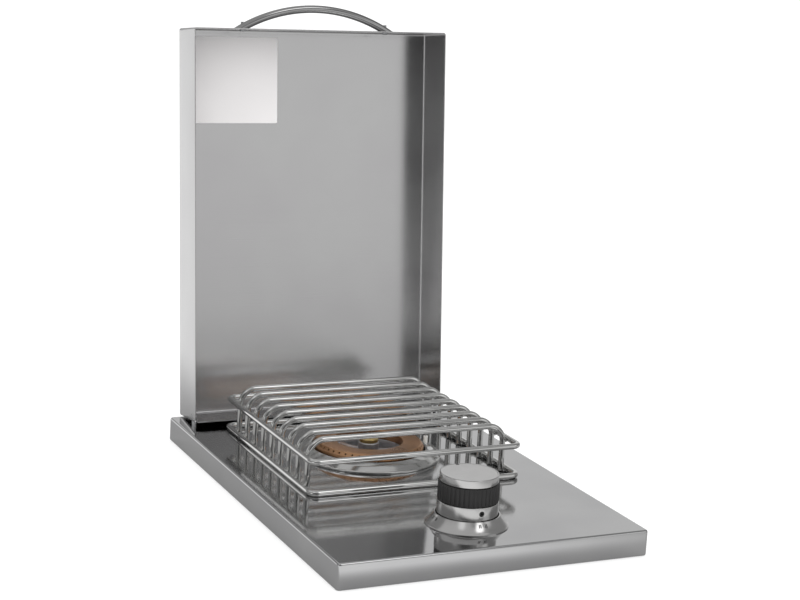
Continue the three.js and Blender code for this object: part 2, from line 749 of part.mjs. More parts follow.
// Flame ring: a brass channel turned over, with a row of ports drilled square to its outer chamfer
function makeFlameRing() {
  const shoulder = ringOuterRadius - ringChamferWidth;
  const chamferFoot = ringTop - ringChamferHeight;
  const slope = Math.atan2(ringChamferWidth, ringChamferHeight);
  const inset = ringWall * Math.tan((Math.PI / 2 - slope) / 2);
  const outerInset = ringWall * Math.tan(slope / 2);
  const ring = turned([
    [ringOuterRadius - ringWall, ringBase], [ringOuterRadius, ringBase], [ringOuterRadius, chamferFoot],
    [shoulder, ringTop], [ringInnerRadius, ringTop], [ringInnerRadius, ringBase],
    [ringInnerRadius + ringWall, ringBase], [ringInnerRadius + ringWall, ringTop - ringWall],
    [shoulder - inset, ringTop - ringWall], [ringOuterRadius - ringWall, chamferFoot - outerInset],
  ], portCount);
  const ports = [];
  for (let port = 0; port < portCount; port += 1) {
    const drill = new THREE.CylinderGeometry(portRadius, portRadius, 2 * ringWall + portRadius, portSides);
    drill.rotateX(slope).translate(0, -(shoulder + ringChamferWidth / 2), ringTop - ringChamferHeight / 2);
    ports.push(drill.rotateZ((2 * Math.PI * (port + 1 / 2)) / portCount));
  }
  return piece('flame_ring', cut(ring, ...ports).translate(0, burnerY, deckTop), bronze);
}

function makeCentreCap() {
  const under = hubTop + seatGap;
  const [foot, shoulder, top] = [under - capStemLength, under + capHeight / 2, under + capHeight];
  const cap = turned([
    [0, foot], [capStemRadius, foot], [capStemRadius, under], [capRadius, under],
    [capRadius, shoulder], [capRadius - capHeight / 2, top], [0, top],
  ]);
  return piece('centre_cap', cap.translate(0, burnerY, deckTop), brass);
}

// Igniter: a strap clamped round the neck carries a ceramic sleeve with a bent electrode
function makeIgniterStrap() {
  const reach = igniterReach + collarRadius;
  const strap = block(reach, strapWidth, strapSheet, reach / 2, 0, -strapDrop - strapSheet);
  const clamp = drum(neckRadius + seatGap + strapSheet, strapWidth / 2, 0, 0, -strapDrop - strapSheet);
  const neckHole = drum(neckRadius + seatGap, strapWidth, 0, 0, -strapDrop - strapWidth / 2);
  const holeBase = -strapDrop - strapSheet - cutOver;
  const holeDepth = strapSheet + 2 * cutOver;
  const ceramicHole = drum(ceramicRadius + seatGap, holeDepth, igniterReach, 0, holeBase, smallSides);
  const body = cut(joined(strap, clamp), neckHole, ceramicHole);
  return piece('igniter_strap', body.translate(0, burnerY, deckTop), zincSteel);
}

function makeCeramic() {
  const seat = -strapDrop + seatGap;
  const bore = electrodeRadius + seatGap;
  const sleeve = turned([
    [bore, -ceramicDrop], [ceramicRadius, -ceramicDrop], [ceramicRadius, seat], [collarRadius, seat],
    [collarRadius, seat + collarHeight], [ceramicRadius, seat + collarHeight], [ceramicRadius, ceramicTop],
    [bore, ceramicTop],
  ], smallSides);
  return piece('igniter_ceramic', sleeve.translate(igniterReach, burnerY, deckTop), ceramic);
}

function makeElectrode() {
  const path = new THREE.Path();
  const bendZ = ceramicTop + electrodeLength - electrodeBend;
  path.moveTo(igniterReach, -ceramicDrop - electrodeLength);
  path.lineTo(igniterReach, bendZ);
  path.absarc(igniterReach - electrodeBend, bendZ, electrodeBend, 0, Math.PI / 2);
  path.lineTo(ringOuterRadius + sparkGap, bendZ + electrodeBend);
  const wire = bentRod(path, electrodeRadius, acrossFront(burnerY));
  return piece('igniter_electrode', wire.translate(0, 0, deckTop), zincSteel);
}

// Gas train
const orificeNear = knobY + valveLength / 2 + bossLength + seatGap;
const mouthY = orificeNear + orificeHexLength + orificeNoseLength + mouthGap;
const bracketY = burnerY - bracketFromBurner;
const boxRear = fromFront(boxFromFront + boxLength);
const valveTop = underDeck(cupFloorDrop + cupFloor) - seatGap;

function venturiPath(overrun) {
  const path = new THREE.Path();
  path.moveTo(mouthY - overrun, gasZ);
  path.lineTo(burnerY - venturiBend, gasZ);
  path.absarc(burnerY - venturiBend, gasZ + venturiBend, venturiBend, -Math.PI / 2, 0);
  path.lineTo(burnerY, underDeck(neckDrop) + venturiRadius / 2 + overrun);
  return path;
}

function makeVenturi() {
  const round = { sides: smallSides };
  const outside = bentRod(venturiPath(0), venturiRadius, alongSide(0), round);
  const inside = bentRod(venturiPath(cutOver), venturiRadius - venturiWall, alongSide(0), round);
  const windowY = mouthY + windowSetback + windowLength / 2;
  const airWidth = 2 * venturiRadius + 2 * cutOver;
  const air = block(airWidth, windowLength, windowWidth, 0, windowY, gasZ - windowWidth / 2);
  return piece('venturi_tube', cut(outside, inside, air), zincSteel);
}

function makeShutter() {
  const inner = venturiRadius + seatGap;
  const start = mouthY + windowSetback / 2;
  const collar = barrel(inner + shutterSheet, shutterLength, 0, start, gasZ, roundSides);
  const bore = barrel(inner, shutterLength + 2 * cutOver, 0, start - cutOver, gasZ, roundSides);
  const windowY = mouthY + windowSetback + windowLength / 2;
  const air = block(4 * venturiRadius, windowLength, windowWidth, 0, windowY, gasZ - windowWidth / 4);
  return piece('air_shutter', cut(collar, bore, air), zincSteel);
}

function makeBracket() {
  const floor = underDeck(boxDrop) + boxSheet + seatGap;
  const rise = gasZ - floor;
  const outline = new THREE.Shape();
  const saddle = venturiRadius + seatGap;
  const shoulder = saddle + saddleSideWall;
  outline.moveTo(-bracketWidth / 2, 0);
  outline.lineTo(bracketWidth / 2, 0);
  outline.lineTo(shoulder, rise);
  outline.lineTo(saddle, rise);
  outline.absarc(0, rise, saddle, 0, -Math.PI, true);
  outline.lineTo(-shoulder, rise);
  const rearFace = bracketY - bracketFoot / 2 + bracketSheet;
  const plate = floorPlate(outline, bracketSheet, 0, smallSides);
  const upright = plate.rotateX(Math.PI / 2).translate(0, rearFace, floor);
  const foot = block(bracketWidth, bracketFoot, bracketSheet, 0, bracketY, floor);
  const holes = sides.map(([, side]) => drum(
    bracketScrewRadius + seatGap, bracketSheet + 2 * cutOver,
    side * bracketScrewSpread / 2, bracketY, floor - cutOver, smallSides,
  ));
  return piece('venturi_bracket', cut(joined(upright, foot), ...holes), zincSteel);
}

function makeBracketScrew(name, side) {
  const seat = underDeck(boxDrop) + boxSheet + bracketSheet + 2 * seatGap;
  const screw = panScrew(bracketScrewRadius, bracketScrewLength, screwHeadRadius, screwHeadHeight);
  return piece(name, screw.translate(side * bracketScrewSpread / 2, bracketY, seat), zincSteel);
}

function makeValveBody() {
  const base = valveTop - valveHeight;
  const casting = block(valveWidth, valveLength, valveHeight, 0, knobY, base);
  const outlet = barrel(bossRadius, valveLength / 2 + bossLength, 0, knobY, gasZ, smallSides);
  const inlet = axle(bossRadius, valveWidth / 2 + bossLength, 0, knobY, gasZ, smallSides);
  const boreBase = valveTop - valveBoreDepth;
  const boreRadius = openRadius(stemPlugRadius + turnGap, smallSides);
  const stemBore = drum(boreRadius, valveBoreDepth + cutOver, 0, knobY, boreBase, smallSides);
  const outletBore = barrel(bossBore, valveLength / 2 + bossLength + cutOver, 0, knobY, gasZ, tinySides);
  const inletBore = axle(bossBore, valveWidth / 2 + bossLength + cutOver, 0, knobY, gasZ, tinySides);
  return piece('valve_body', cut(joined(casting, outlet, inlet), stemBore, outletBore, inletBore), brass);
}

// Bonnet: a plate screwed under the deck and a cup that holds the spring round the stem
function makeBonnet() {
  const plateTop = deckUnderside - seatGap;
  const cupBase = underDeck(cupFloorDrop + cupFloor);
  const plateBase = plateTop - bonnetPlateSheet;
  const plate = block(bonnetPlateLength, bonnetPlateWidth, bonnetPlateSheet, 0, knobY, plateBase);
  const cup = drum(cupRadius, plateTop - cupBase, 0, knobY, cupBase);
  const well = drum(cupBoreRadius, cupFloorDrop, 0, knobY, underDeck(cupFloorDrop));
  const boreRadius = openRadius(stemRadius + turnGap, smallSides);
  const bore = drum(boreRadius, 2 * cupFloor + cutOver, 0, knobY, cupBase - cutOver, smallSides);
  const holes = sides.map(([, side]) => drum(
    bezelScrewRadius + seatGap, bonnetPlateSheet + 2 * cutOver,
    side * bezelScrewSpread / 2, knobY, plateBase - cutOver, smallSides,
  ));
  return piece('valve_bonnet', cut(joined(plate, cup), well, bore, ...holes), brass);
}

function makeOrifice() {
  const hex = barrel(orificeRadius, orificeHexLength, 0, orificeNear, gasZ, hexSides);
  const length = orificeHexLength + orificeNoseLength;
  const noseNear = orificeNear + orificeHexLength / 2;
  const nose = barrel(orificeNoseRadius, length - orificeHexLength / 2, 0, noseNear, gasZ);
  const bore = barrel(orificeBore, length + 2 * cutOver, 0, orificeNear - cutOver, gasZ, hexSides);
  return piece('orifice', cut(joined(hex, nose), bore), brass);
}

function makePiezo() {
  const x = -(valveWidth / 2 + seatGap + piezoWidth / 2);
  const base = valveTop - piezoHeight;
  const housing = block(piezoWidth, piezoLength, piezoHeight, x, knobY, base);
  const nub = drum(piezoNubRadius, piezoNubLength + cutOver, x, knobY, base - piezoNubLength, smallSides);
  return piece('piezo_igniter', joined(housing, nub), blackPlastic);
}

function pipePath(overrun) {
  const path = new THREE.Path();
  path.moveTo(valveWidth / 2 + bossLength + seatGap - overrun, knobY);
  path.lineTo(pipeOffset - pipeBend, knobY);
  path.absarc(pipeOffset - pipeBend, knobY + pipeBend, pipeBend, -Math.PI / 2, 0);
  path.lineTo(pipeOffset, boxRear - boxSheet - fittingInside - seatGap + overrun);
  return path;
}

function makePipe() {
  const outside = bentRod(pipePath(0), pipeRadius, inPlan(gasZ));
  const inside = bentRod(pipePath(cutOver), pipeRadius - pipeWall, inPlan(gasZ));
  return piece('gas_pipe', cut(outside, inside), zincSteel);
}

function makeInlet() {
  const near = boxRear - boxSheet - fittingInside;
  const length = fittingInside + boxSheet + fittingOutside;
  const body = barrel(fittingRadius, length, pipeOffset, near, gasZ);
  const hex = barrel(fittingHexRadius, fittingHexLength, pipeOffset, boxRear + seatGap, gasZ, hexSides);
  const bore = barrel(fittingBore, length + 2 * cutOver, pipeOffset, near - cutOver, gasZ);
  return piece('gas_inlet', cut(joined(body, hex), bore), brass);
}

function makeInletNut() {
  const near = boxRear - boxSheet - seatGap - nutLength;
  const hex = barrel(nutRadius, nutLength, pipeOffset, near, gasZ, hexSides);
  const bore = barrel(fittingRadius + seatGap, nutLength + 2 * cutOver, pipeOffset, near - cutOver, gasZ);
  return piece('inlet_nut', cut(hex, bore), brass);
}

// Bezel and its screws, which go on through the deck into the bonnet
function makeBezel() {
  const profile = [[bezelRadius, seatGap]];
  for (let step = 0; step <= bezelSteps; step += 1) {
    const share = step / bezelSteps;
    const rise = (bezelHeight - bezelFoot) * share ** bezelCurvePower;
    profile.push([bezelRadius + (bezelNeckRadius - bezelRadius) * share, seatGap + bezelFoot + rise]);
  }
  profile.push([bezelNeckRadius - bezelWall, seatGap + bezelHeight]);
  profile.push([bezelNeckRadius - bezelWall, seatGap + bezelFloor]);
  profile.push([stemHoleRadius, seatGap + bezelFloor], [stemHoleRadius, seatGap]);
  const holes = sides.map(([, side]) => drum(
    bezelScrewRadius + seatGap, bezelFloor + 2 * cutOver,
    side * bezelScrewSpread / 2, 0, -cutOver, smallSides,
  ));
  const bezel = cut(turned(profile, fineSides), ...holes);
  return piece('knob_bezel', bezel.translate(0, knobY, deckTop), brushedSteel);
}

function makeBezelScrew(name, side) {
  const shank = bezelFloor + deckSheet + bonnetPlateSheet + cutOver + 2 * seatGap;
  const screw = panScrew(bezelScrewRadius, shank, bezelScrewHead, bezelScrewHeadHeight);
  const seat = overDeck(bezelFloor + 2 * seatGap);
  return piece(name, screw.translate(side * bezelScrewSpread / 2, knobY, seat), zincSteel);
}

// Knob pieces, drawn about the knob's own axis with the deck's surface at z = 0
const skirtTop = knobBase + skirtHeight;
const gripBase = skirtTop + seatGap;
const knobCapBase = gripBase + gripHeight + seatGap;
const setScrewZ = skirtTop - setScrewFromTop;
const coreTop = knobCapBase - seatGap;

function makeKnobSkirt() {
  const [inner, inside] = [coreRadius + seatGap, skirtRadius - skirtWall];
  const skirt = turned([
    [inside, knobBase], [skirtRadius, knobBase], [skirtRadius, skirtTop], [inner, skirtTop],
    [inner, skirtTop - skirtWeb], [inside, skirtTop - skirtWeb],
  ], fineSides);
  const holeNear = -skirtRadius - cutOver;
  const hole = barrel(setScrewRadius + seatGap, 2 * skirtWall + cutOver, 0, holeNear, setScrewZ);
  return piece('knob_skirt', cut(skirt, hole), brushedSteel);
}

function makeKnobGrip() {
  const outline = new THREE.Shape();
  const corners = 4 * gripFlutes;
  for (let corner = 0; corner < corners; corner += 1) {
    const deep = corner % 4 > 1;
    const radius = gripRadius - (deep ? fluteDepth : 0);
    const turn = (2 * Math.PI * corner) / corners;
    const step = corner === 0 ? 'moveTo' : 'lineTo';
    outline[step](radius * Math.cos(turn), radius * Math.sin(turn));
  }
  const bore = new THREE.Path();
  bore.absarc(0, 0, openRadius(coreRadius + seatGap, roundSides), 0, 2 * Math.PI);
  outline.holes.push(bore);
  return piece('knob_grip', floorPlate(outline, gripHeight, gripBase, roundSides / 2), blackPlastic);
}

function makeKnobCap() {
  const top = knobCapBase + knobCapHeight;
  const rim = knobCapRadius - knobCapChamfer;
  const cap = turned([
    [0, knobCapBase], [rim, knobCapBase], [knobCapRadius, knobCapBase + knobCapChamfer],
    [knobCapRadius, top - knobCapChamfer], [rim, top], [0, top],
  ], fineSides);
  const pointerY = knobCapRadius - pointerLength / 2;
  const pointerBase = top - pointerDepth;
  const pointer = block(pointerWidth, pointerLength, pointerDepth + cutOver, 0, pointerY, pointerBase);
  return piece('knob_cap', cut(cap, pointer), brushedSteel);
}

function makeKnobCore() {
  const base = knobBase + seatGap;
  const core = drum(coreRadius, coreTop - base, 0, 0, base);
  const round = drum(stemRadius + seatGap, coreBoreDepth + cutOver, 0, 0, base - cutOver, smallSides);
  const bore = flattened(round, stemFlat + seatGap);
  const holeNear = -coreRadius - cutOver;
  const screwHole = barrel(setScrewRadius + seatGap, coreRadius + cutOver, 0, holeNear, setScrewZ);
  return piece('knob_core', cut(core, bore, screwHole), zincSteel);
}

// A round bar with a flat along its rear side.
function flattened(bar, flat) {
  const room = 4 * stemRadius;
  const tall = 4 * coreBoreDepth;
  return cut(bar, block(room, room, tall, 0, flat + room / 2, -tall / 2));
}

function makeSetScrew() {
  const near = -skirtRadius - setScrewProud;
  const length = -stemRadius - seatGap - near;
  return piece('knob_set_screw', barrel(setScrewRadius, length, 0, near, setScrewZ), blackPlastic);
}

function makeStem() {
  const collarTop = -stemCollarDrop;
  const collarBase = collarTop - stemCollarHeight;
  const plugBase = valveTop - deckTop - valveBoreDepth + knobTravel + turnGap;
  const plugTop = plugBase + stemPlugLength;
  const lower = turned([
    [0, plugBase], [stemPlugRadius, plugBase], [stemPlugRadius, plugTop], [stemRadius, plugTop],
    [stemRadius, collarBase], [stemCollarRadius, collarBase], [stemCollarRadius, collarTop],
    [stemRadius, collarTop], [stemRadius, knobBase / 2], [0, knobBase / 2],
  ], smallSides);
  const upperBase = knobBase / 2 - seatGap;
  const shaft = drum(stemRadius, knobBase + stemReach - upperBase, 0, 0, upperBase, smallSides);
  const upper = flattened(shaft, stemFlat);
  return piece('valve_stem', joined(lower, upper), brass);
}

// Washer and spring round the stem: the washer slides with it and the spring pushes it back up
const washerTop = -stemCollarDrop - stemCollarHeight - seatGap;

function makeWasher() {
  const washer = turned([
    [stemRadius + turnGap, washerTop - washerThickness], [washerRadius, washerTop - washerThickness],
    [washerRadius, washerTop], [stemRadius + turnGap, washerTop],
  ], smallSides * 2);
  return piece('stem_washer', washer.translate(0, knobY, deckTop), zincSteel);
}

function makeSpring() {
  const base = -cupFloorDrop + seatGap + springWire / 2;
  const rise = washerTop - washerThickness - seatGap - springWire / 2 - base;
  const count = springTurns * springSteps;
  const rings = [];
  for (let step = 0; step <= count; step += 1) {
    const turn = (2 * Math.PI * step) / springSteps;
    const height = base + (rise * step) / count;
    rings.push(Array.from({ length: springSides }, (_, side) => {
      const round = (2 * Math.PI * side) / springSides;
      const radius = springRadius + (springWire / 2) * Math.cos(round);
      const level = height + (springWire / 2) * Math.sin(round);
      return new THREE.Vector3(radius * Math.cos(turn), radius * Math.sin(turn), level);
    }));
  }
  console.log(`stem spring: least gap between turns ${(rise / springTurns - springWire).toFixed(2)} mm`);
  return piece('stem_spring', skin(rings).translate(0, knobY, deckTop), zincSteel);
}

// The whole burner
const sideBurner = new THREE.Group();
sideBurner.add(makeDeck(), ...makeBox());

const lidGroup = new THREE.Group();
lidGroup.position.set(0, pivotY, overDeck(pivotHeight));
lidGroup.rotation.x = -openAngle;
lidGroup.add(makeLid(), makeHandle());
for (const [word, side] of sides) {
  lidGroup.add(makeHandleScrew(`handle_screw_${word}`, side), makeHingePin(`hinge_pin_${word}`, side));
  sideBurner.add(makeEar(`hinge_ear_${word}`, side));
}
sideBurner.add(lidGroup);

const grate = new THREE.Group();
grate.add(makeGrateRing('grate_ring_lower', ringRadius + seatGap));
grate.add(makeGrateRing('grate_ring_upper', upperRingHeight));
for (let number = 1; number <= barCount; number += 1) grate.add(makeBar(number));
sideBurner.add(grate);

const burner = new THREE.Group();
burner.add(makePan(), makeBowl(), makeSpider(), makeHub(), makeFlameRing(), makeCentreCap());
burner.add(makeIgniterStrap(), makeCeramic(), makeElectrode());
burner.add(makeVenturi(), makeShutter(), makeBracket());
sideBurner.add(burner);

const gasTrain = new THREE.Group();
gasTrain.add(makeValveBody(), makeBonnet(), makeWasher(), makeSpring(), makeBezel());
gasTrain.add(makeOrifice(), makePiezo(), makePipe(), makeInlet(), makeInletNut());
for (const [word, side] of sides) {
  gasTrain.add(makeBezelScrew(`bezel_screw_${word}`, side));
  gasTrain.add(makeBracketScrew(`bracket_screw_${word}`, side));
}
sideBurner.add(gasTrain);

const knob = new THREE.Group();
knob.position.set(0, knobY, deckTop);
knob.add(makeStem(), makeKnobCore(), makeKnobSkirt(), makeKnobGrip(), makeKnobCap(), makeSetScrew());
sideBurner.add(knob);

export default sideBurner;
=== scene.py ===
import json
from math import cos, pi, radians, sin
import bmesh
import bpy
import numpy as np
from mathutils import Matrix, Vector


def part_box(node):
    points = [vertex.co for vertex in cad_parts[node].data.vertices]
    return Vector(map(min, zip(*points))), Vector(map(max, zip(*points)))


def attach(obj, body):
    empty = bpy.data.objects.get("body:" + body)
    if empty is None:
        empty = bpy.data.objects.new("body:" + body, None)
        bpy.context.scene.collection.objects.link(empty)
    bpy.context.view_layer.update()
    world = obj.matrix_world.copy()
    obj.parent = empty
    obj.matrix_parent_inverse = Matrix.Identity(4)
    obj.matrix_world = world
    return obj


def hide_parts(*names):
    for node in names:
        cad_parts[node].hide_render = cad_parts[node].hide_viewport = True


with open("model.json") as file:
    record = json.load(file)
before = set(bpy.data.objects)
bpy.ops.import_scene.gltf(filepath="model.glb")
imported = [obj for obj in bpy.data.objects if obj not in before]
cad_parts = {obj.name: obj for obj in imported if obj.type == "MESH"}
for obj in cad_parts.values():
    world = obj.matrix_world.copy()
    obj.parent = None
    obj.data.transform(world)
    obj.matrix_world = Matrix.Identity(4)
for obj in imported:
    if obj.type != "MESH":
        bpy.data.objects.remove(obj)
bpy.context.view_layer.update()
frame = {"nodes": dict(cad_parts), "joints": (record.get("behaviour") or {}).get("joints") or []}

# Side burner dressed over its CAD frame. Shapes are worked out in millimetres and stored in metres.
mm = 0.001
tiny = 1e-6          # keeps a division from meeting zero
leastCorner = 0.2    # smallest corner radius of a rounded rectangle
weldGap = 2e-6       # points nearer than this are one, in metres
shading = {"sharpFrom": 32, "bevelFrom": 40, "bevelSteps": 2}
hands = (("left", -1), ("right", 1))
jointOf = {joint["name"]: joint for joint in frame["joints"]}


def nodeBox(name):
    # low and high corner of a CAD node in millimetres
    low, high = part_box(name)
    return np.array(low) / mm, np.array(high) / mm


def unit(vectors):
    # each vector over its length
    length = np.linalg.norm(vectors, axis=-1, keepdims=True)
    return vectors / np.maximum(length, tiny)


def circle(sides):
    # the angles of an even polygon's corners
    return np.arange(sides) * (2 * pi / sides)


def around(radius, angle, height):
    # x = radius cos angle, y = radius sin angle, z = height
    x, y = radius * np.cos(angle), radius * np.sin(angle)
    return np.stack([x, y, height + 0 * x], axis=-1)


def arc(radius, start, end, count):
    # evenly spaced points of a circle in the plane, from one angle to another
    angle = np.linspace(start, end, count)
    return radius * np.stack([np.cos(angle), np.sin(angle)], axis=-1)


def fillet(corners, radii, steps=5):
    # each corner gives way to an arc tangent to its two sides: the centre lies on the corner's bisector,
    # radius / sin(half angle) away, and the arm swings evenly from one tangent point to the other
    corners = np.asarray(corners, float)
    radii = np.broadcast_to(np.asarray(radii, float), len(corners))[:, None]
    before = unit(np.roll(corners, 1, axis=0) - corners)
    after = unit(np.roll(corners, -1, axis=0) - corners)
    half = np.arccos(np.clip((before * after).sum(1, keepdims=True), -1, 1 - tiny)) / 2
    centre = corners + unit(before + after) * radii / np.sin(half)
    start = corners + before * radii / np.tan(half) - centre
    end = corners + after * radii / np.tan(half) - centre
    sweep = np.maximum(pi - 2 * half, tiny)[:, None]
    share = np.linspace(0, 1, steps + 1)[None, :, None]
    arm = start[:, None] * np.sin((1 - share) * sweep) + end[:, None] * np.sin(share * sweep)
    return (centre[:, None] + arm / np.sin(sweep)).reshape(-1, corners.shape[1])


def gridFaces(rows, columns, closeRows, closeColumns):
    # quads of a grid whose points are numbered row by row
    row, column = np.meshgrid(
        np.arange(rows - (not closeRows)), np.arange(columns - (not closeColumns)), indexing="ij")
    nextRow, nextColumn = (row + 1) % rows, (column + 1) % columns
    corners = [row * columns + column, row * columns + nextColumn,
               nextRow * columns + nextColumn, nextRow * columns + column]
    return np.stack(corners, axis=-1).reshape(-1, 4).tolist()


def gridShape(points, closeRows=False, closeColumns=True, capEnds=False):
    # a shape is its points and its faces: here a grid of points, with a flat cap on its first and last row
    rows, columns = points.shape[:2]
    faces = gridFaces(rows, columns, closeRows, closeColumns)
    if capEnds:
        faces += [list(range(columns))[::-1], list(range((rows - 1) * columns, rows * columns))]
    return points.reshape(-1, 3), faces


def joinShapes(*shapes):
    # the shapes as one, each shape's corners counted on from the points before it
    starts = np.cumsum([0] + [len(points) for points, faces in shapes])
    faces = [[int(start) + corner for corner in face]
             for start, (points, shapeFaces) in zip(starts, shapes) for face in shapeFaces]
    return np.concatenate([points for points, _ in shapes]), faces


def moved(shape, x=0.0, y=0.0, z=0.0):
    # every point plus the same step
    return shape[0] + np.array([x, y, z]), shape[1]


def turned(shape, axis, angle=pi / 2):
    # the shape turned about one of the axes through the origin
    turn = np.array(Matrix.Rotation(angle, 3, axis))
    return shape[0] @ turn.T, shape[1]


def lathe(profile, sides, closed=False):
    # each (r, h) of the profile at each angle a: x = r cos a, y = r sin a, z = h
    profile = np.asarray(profile, float)
    points = around(profile[:, :1], circle(sides), profile[:, 1:])
    return gridShape(points, closeRows=closed, capEnds=not closed)


def drill(radius, low, high, sides, place=(0, 0, 0), turnAbout=None):
    # a straight round cutter from low to high along Z, laid over by a quarter turn where an axis is named
    shape = lathe([(radius, low), (radius, high)], sides)
    return moved(turned(shape, turnAbout) if turnAbout else shape, *place)


def loft(profile, halfX, halfY, corner, steps=6):
    # a rounded rectangle for each (inset, height) of the profile: a point is the corner arc's centre plus
    # the corner radius less the inset, along the arc's angle
    inset, height = np.asarray(profile, float).T[:, :, None]
    quarter = np.repeat(np.arange(4), steps + 1)
    angle = (quarter + np.tile(np.linspace(0, 1, steps + 1), 4)) * (pi / 2)
    signX = np.where((quarter == 0) | (quarter == 3), 1, -1)
    signY = np.where(quarter < 2, 1, -1)
    radius = np.maximum(corner - inset, leastCorner)
    x = signX * (halfX - inset - radius) + radius * np.cos(angle)
    y = signY * (halfY - inset - radius) + radius * np.sin(angle)
    return gridShape(np.stack([x, y, height + 0 * x], axis=-1), capEnds=True)


def block(low, high):
    # a straight block between two corners, its upright edges just broken
    low, high = np.asarray(low, float), np.asarray(high, float)
    half, middle = (high - low) / 2, (high + low) / 2
    return moved(loft([(0, low[2]), (0, high[2])], half[0], half[1], leastCorner, 1), middle[0], middle[1])


def rod(path, radius, normal, sides=16, closed=False, chamfer=0.0):
    # a circle carried along a flat path: path + r (cos a * side + sin a * normal), side = normal x tangent
    path, normal = np.asarray(path, float), np.asarray(normal, float)
    path = path[np.r_[True, np.linalg.norm(np.diff(path, axis=0), axis=1) > tiny]]
    if chamfer:
        ends = chamfer * unit(np.array([path[1] - path[0], path[-1] - path[-2]]))
        path = np.concatenate([path[:1], path[:1] + ends[0], path[1:-1], path[-1:] - ends[1], path[-1:]])
    radii = np.full(len(path), float(radius))
    radii[[0, -1]] -= chamfer
    if closed:
        tangent = unit(np.roll(path, -1, axis=0) - np.roll(path, 1, axis=0))
    else:
        tangent = unit(np.gradient(path, axis=0))
    angle = circle(sides)
    across = np.cross(normal, tangent)[:, None] * np.cos(angle)[:, None] + normal * np.sin(angle)[:, None]
    return gridShape(path[:, None] + radii[:, None, None] * across, closeRows=closed, capEnds=not closed)


def prism(outline, low, high):
    # a flat outline in x and y carried up from low to high
    outline = np.asarray(outline, float)
    height = np.array([low, high], float)[:, None] + 0 * outline[:, 0]
    points = np.stack([outline[:, 0] + 0 * height, outline[:, 1] + 0 * height, height], axis=-1)
    return gridShape(points, capEnds=True)


def laidOver(shape):
    # a prism laid down along X: its outline's x along Y and its outline's y along Z
    return shape[0][:, [2, 0, 1]], shape[1]


def makeMesh(name, shape):
    # the shape as an object at the origin, its double points made one and its faces turned outwards
    points, faces = shape
    mesh = bpy.data.meshes.new(name)
    mesh.from_pydata((points * mm).tolist(), [], faces)
    work = bmesh.new()
    work.from_mesh(mesh)
    bmesh.ops.remove_doubles(work, verts=work.verts, dist=weldGap)
    bmesh.ops.recalc_face_normals(work, faces=work.faces)
    work.to_mesh(mesh)
    work.free()
    piece = bpy.data.objects.new(name, mesh)
    bpy.context.collection.objects.link(piece)
    return piece


def cutAway(piece, shapes):
    # the shapes are taken out of the piece
    tool = makeMesh("tool", joinShapes(*shapes))
    holes = piece.modifiers.new("holes", "BOOLEAN")
    holes.operation, holes.solver, holes.object = "DIFFERENCE", "EXACT", tool
    holes.use_self = True   # cutters may overlap each other
    graph = bpy.context.evaluated_depsgraph_get()
    old = piece.data
    piece.data = bpy.data.meshes.new_from_object(piece.evaluated_get(graph))
    piece.modifiers.clear()
    piece.data.name = piece.name
    bpy.data.meshes.remove(old)
    bpy.data.objects.remove(tool)


def addPiece(name, shape, look, body, hides=(), cuts=(), bevel=0.0):
    # one finished piece on its body, in place of the CAD nodes that it hides
    piece = makeMesh(name, shape)
    if cuts:
        cutAway(piece, cuts)
    piece.data.shade_smooth()
    piece.data.set_sharp_from_angle(angle=radians(shading["sharpFrom"]))
    piece.data.materials.clear()
    piece.data.materials.append(looks[look])
    if bevel:
        edge = piece.modifiers.new("edge", "BEVEL")
        edge.width, edge.segments, edge.limit_method = bevel * mm, shading["bevelSteps"], "ANGLE"
        edge.angle_limit = radians(shading["bevelFrom"])
        edge.harden_normals = True
    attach(piece, body)
    if hides:
        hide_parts(*hides)
    return piece


def fill(tree, node, inputs):
    # each input set to its value, or joined to the socket given for it
    for key, value in inputs.items():
        if isinstance(value, bpy.types.NodeSocket):
            tree.links.new(value, node.inputs[key])
        else:
            node.inputs[key].default_value = value


def addNode(tree, kind, inputs=None, **settings):
    # a shader node with its settings and its inputs
    node = tree.nodes.new("ShaderNode" + kind)
    for key, value in settings.items():
        setattr(node, key, value)
    fill(tree, node, inputs or {})
    return node


def newGroup(name, inputs):
    # a grain group with its inputs, and with a height and a broad tone as its outputs
    group = bpy.data.node_groups.new(name, "ShaderNodeTree")
    for socket, value in inputs.items():
        made = group.interface.new_socket(name=socket, in_out="INPUT", socket_type="NodeSocketFloat")
        made.default_value = value
    for socket in ("Height", "Tone"):
        group.interface.new_socket(name=socket, in_out="OUTPUT", socket_type="NodeSocketFloat")
    return group, group.nodes.new("NodeGroupInput").outputs, group.nodes.new("NodeGroupOutput")


def noiseOver(tree, vector, scale, detail):
    # plain noise, read at a vector
    return addNode(tree, "TexNoise", {"Vector": vector, "Scale": scale, "Detail": detail}).outputs["Fac"]


def sheetGrain():
    # fine parallel scratches of brushed sheet: along X on faces that look up, front or back, and along Z on
    # the folded down sides, with a soft broad tone over them
    group, given, result = newGroup("sheetGrain", {"Along": 6.0, "Across": 900.0, "Patch": 9.0})
    where = addNode(group, "TexCoord").outputs["Object"]
    along, across = given["Along"], given["Across"]
    scratches = []
    for scale in ((along, across, across), (across, across, along)):
        stretch = addNode(group, "CombineXYZ", dict(enumerate(scale)))
        scaled = addNode(group, "VectorMath", {0: where, 1: stretch.outputs[0]}, operation="MULTIPLY")
        scratches.append(noiseOver(group, scaled.outputs[0], 1.0, 3.0))
    split = addNode(group, "SeparateXYZ", {0: addNode(group, "NewGeometry").outputs["Normal"]})
    sideways = addNode(group, "Math", {0: split.outputs["X"]}, operation="ABSOLUTE")
    share = addNode(group, "MapRange", {0: sideways.outputs[0], 1: 0.55, 2: 0.85})
    mixed = addNode(group, "Mix", {0: share.outputs[0], 2: scratches[0], 3: scratches[1]})
    fill(group, result, {"Height": mixed.outputs[0], "Tone": noiseOver(group, where, given["Patch"], 2.0)})
    return group


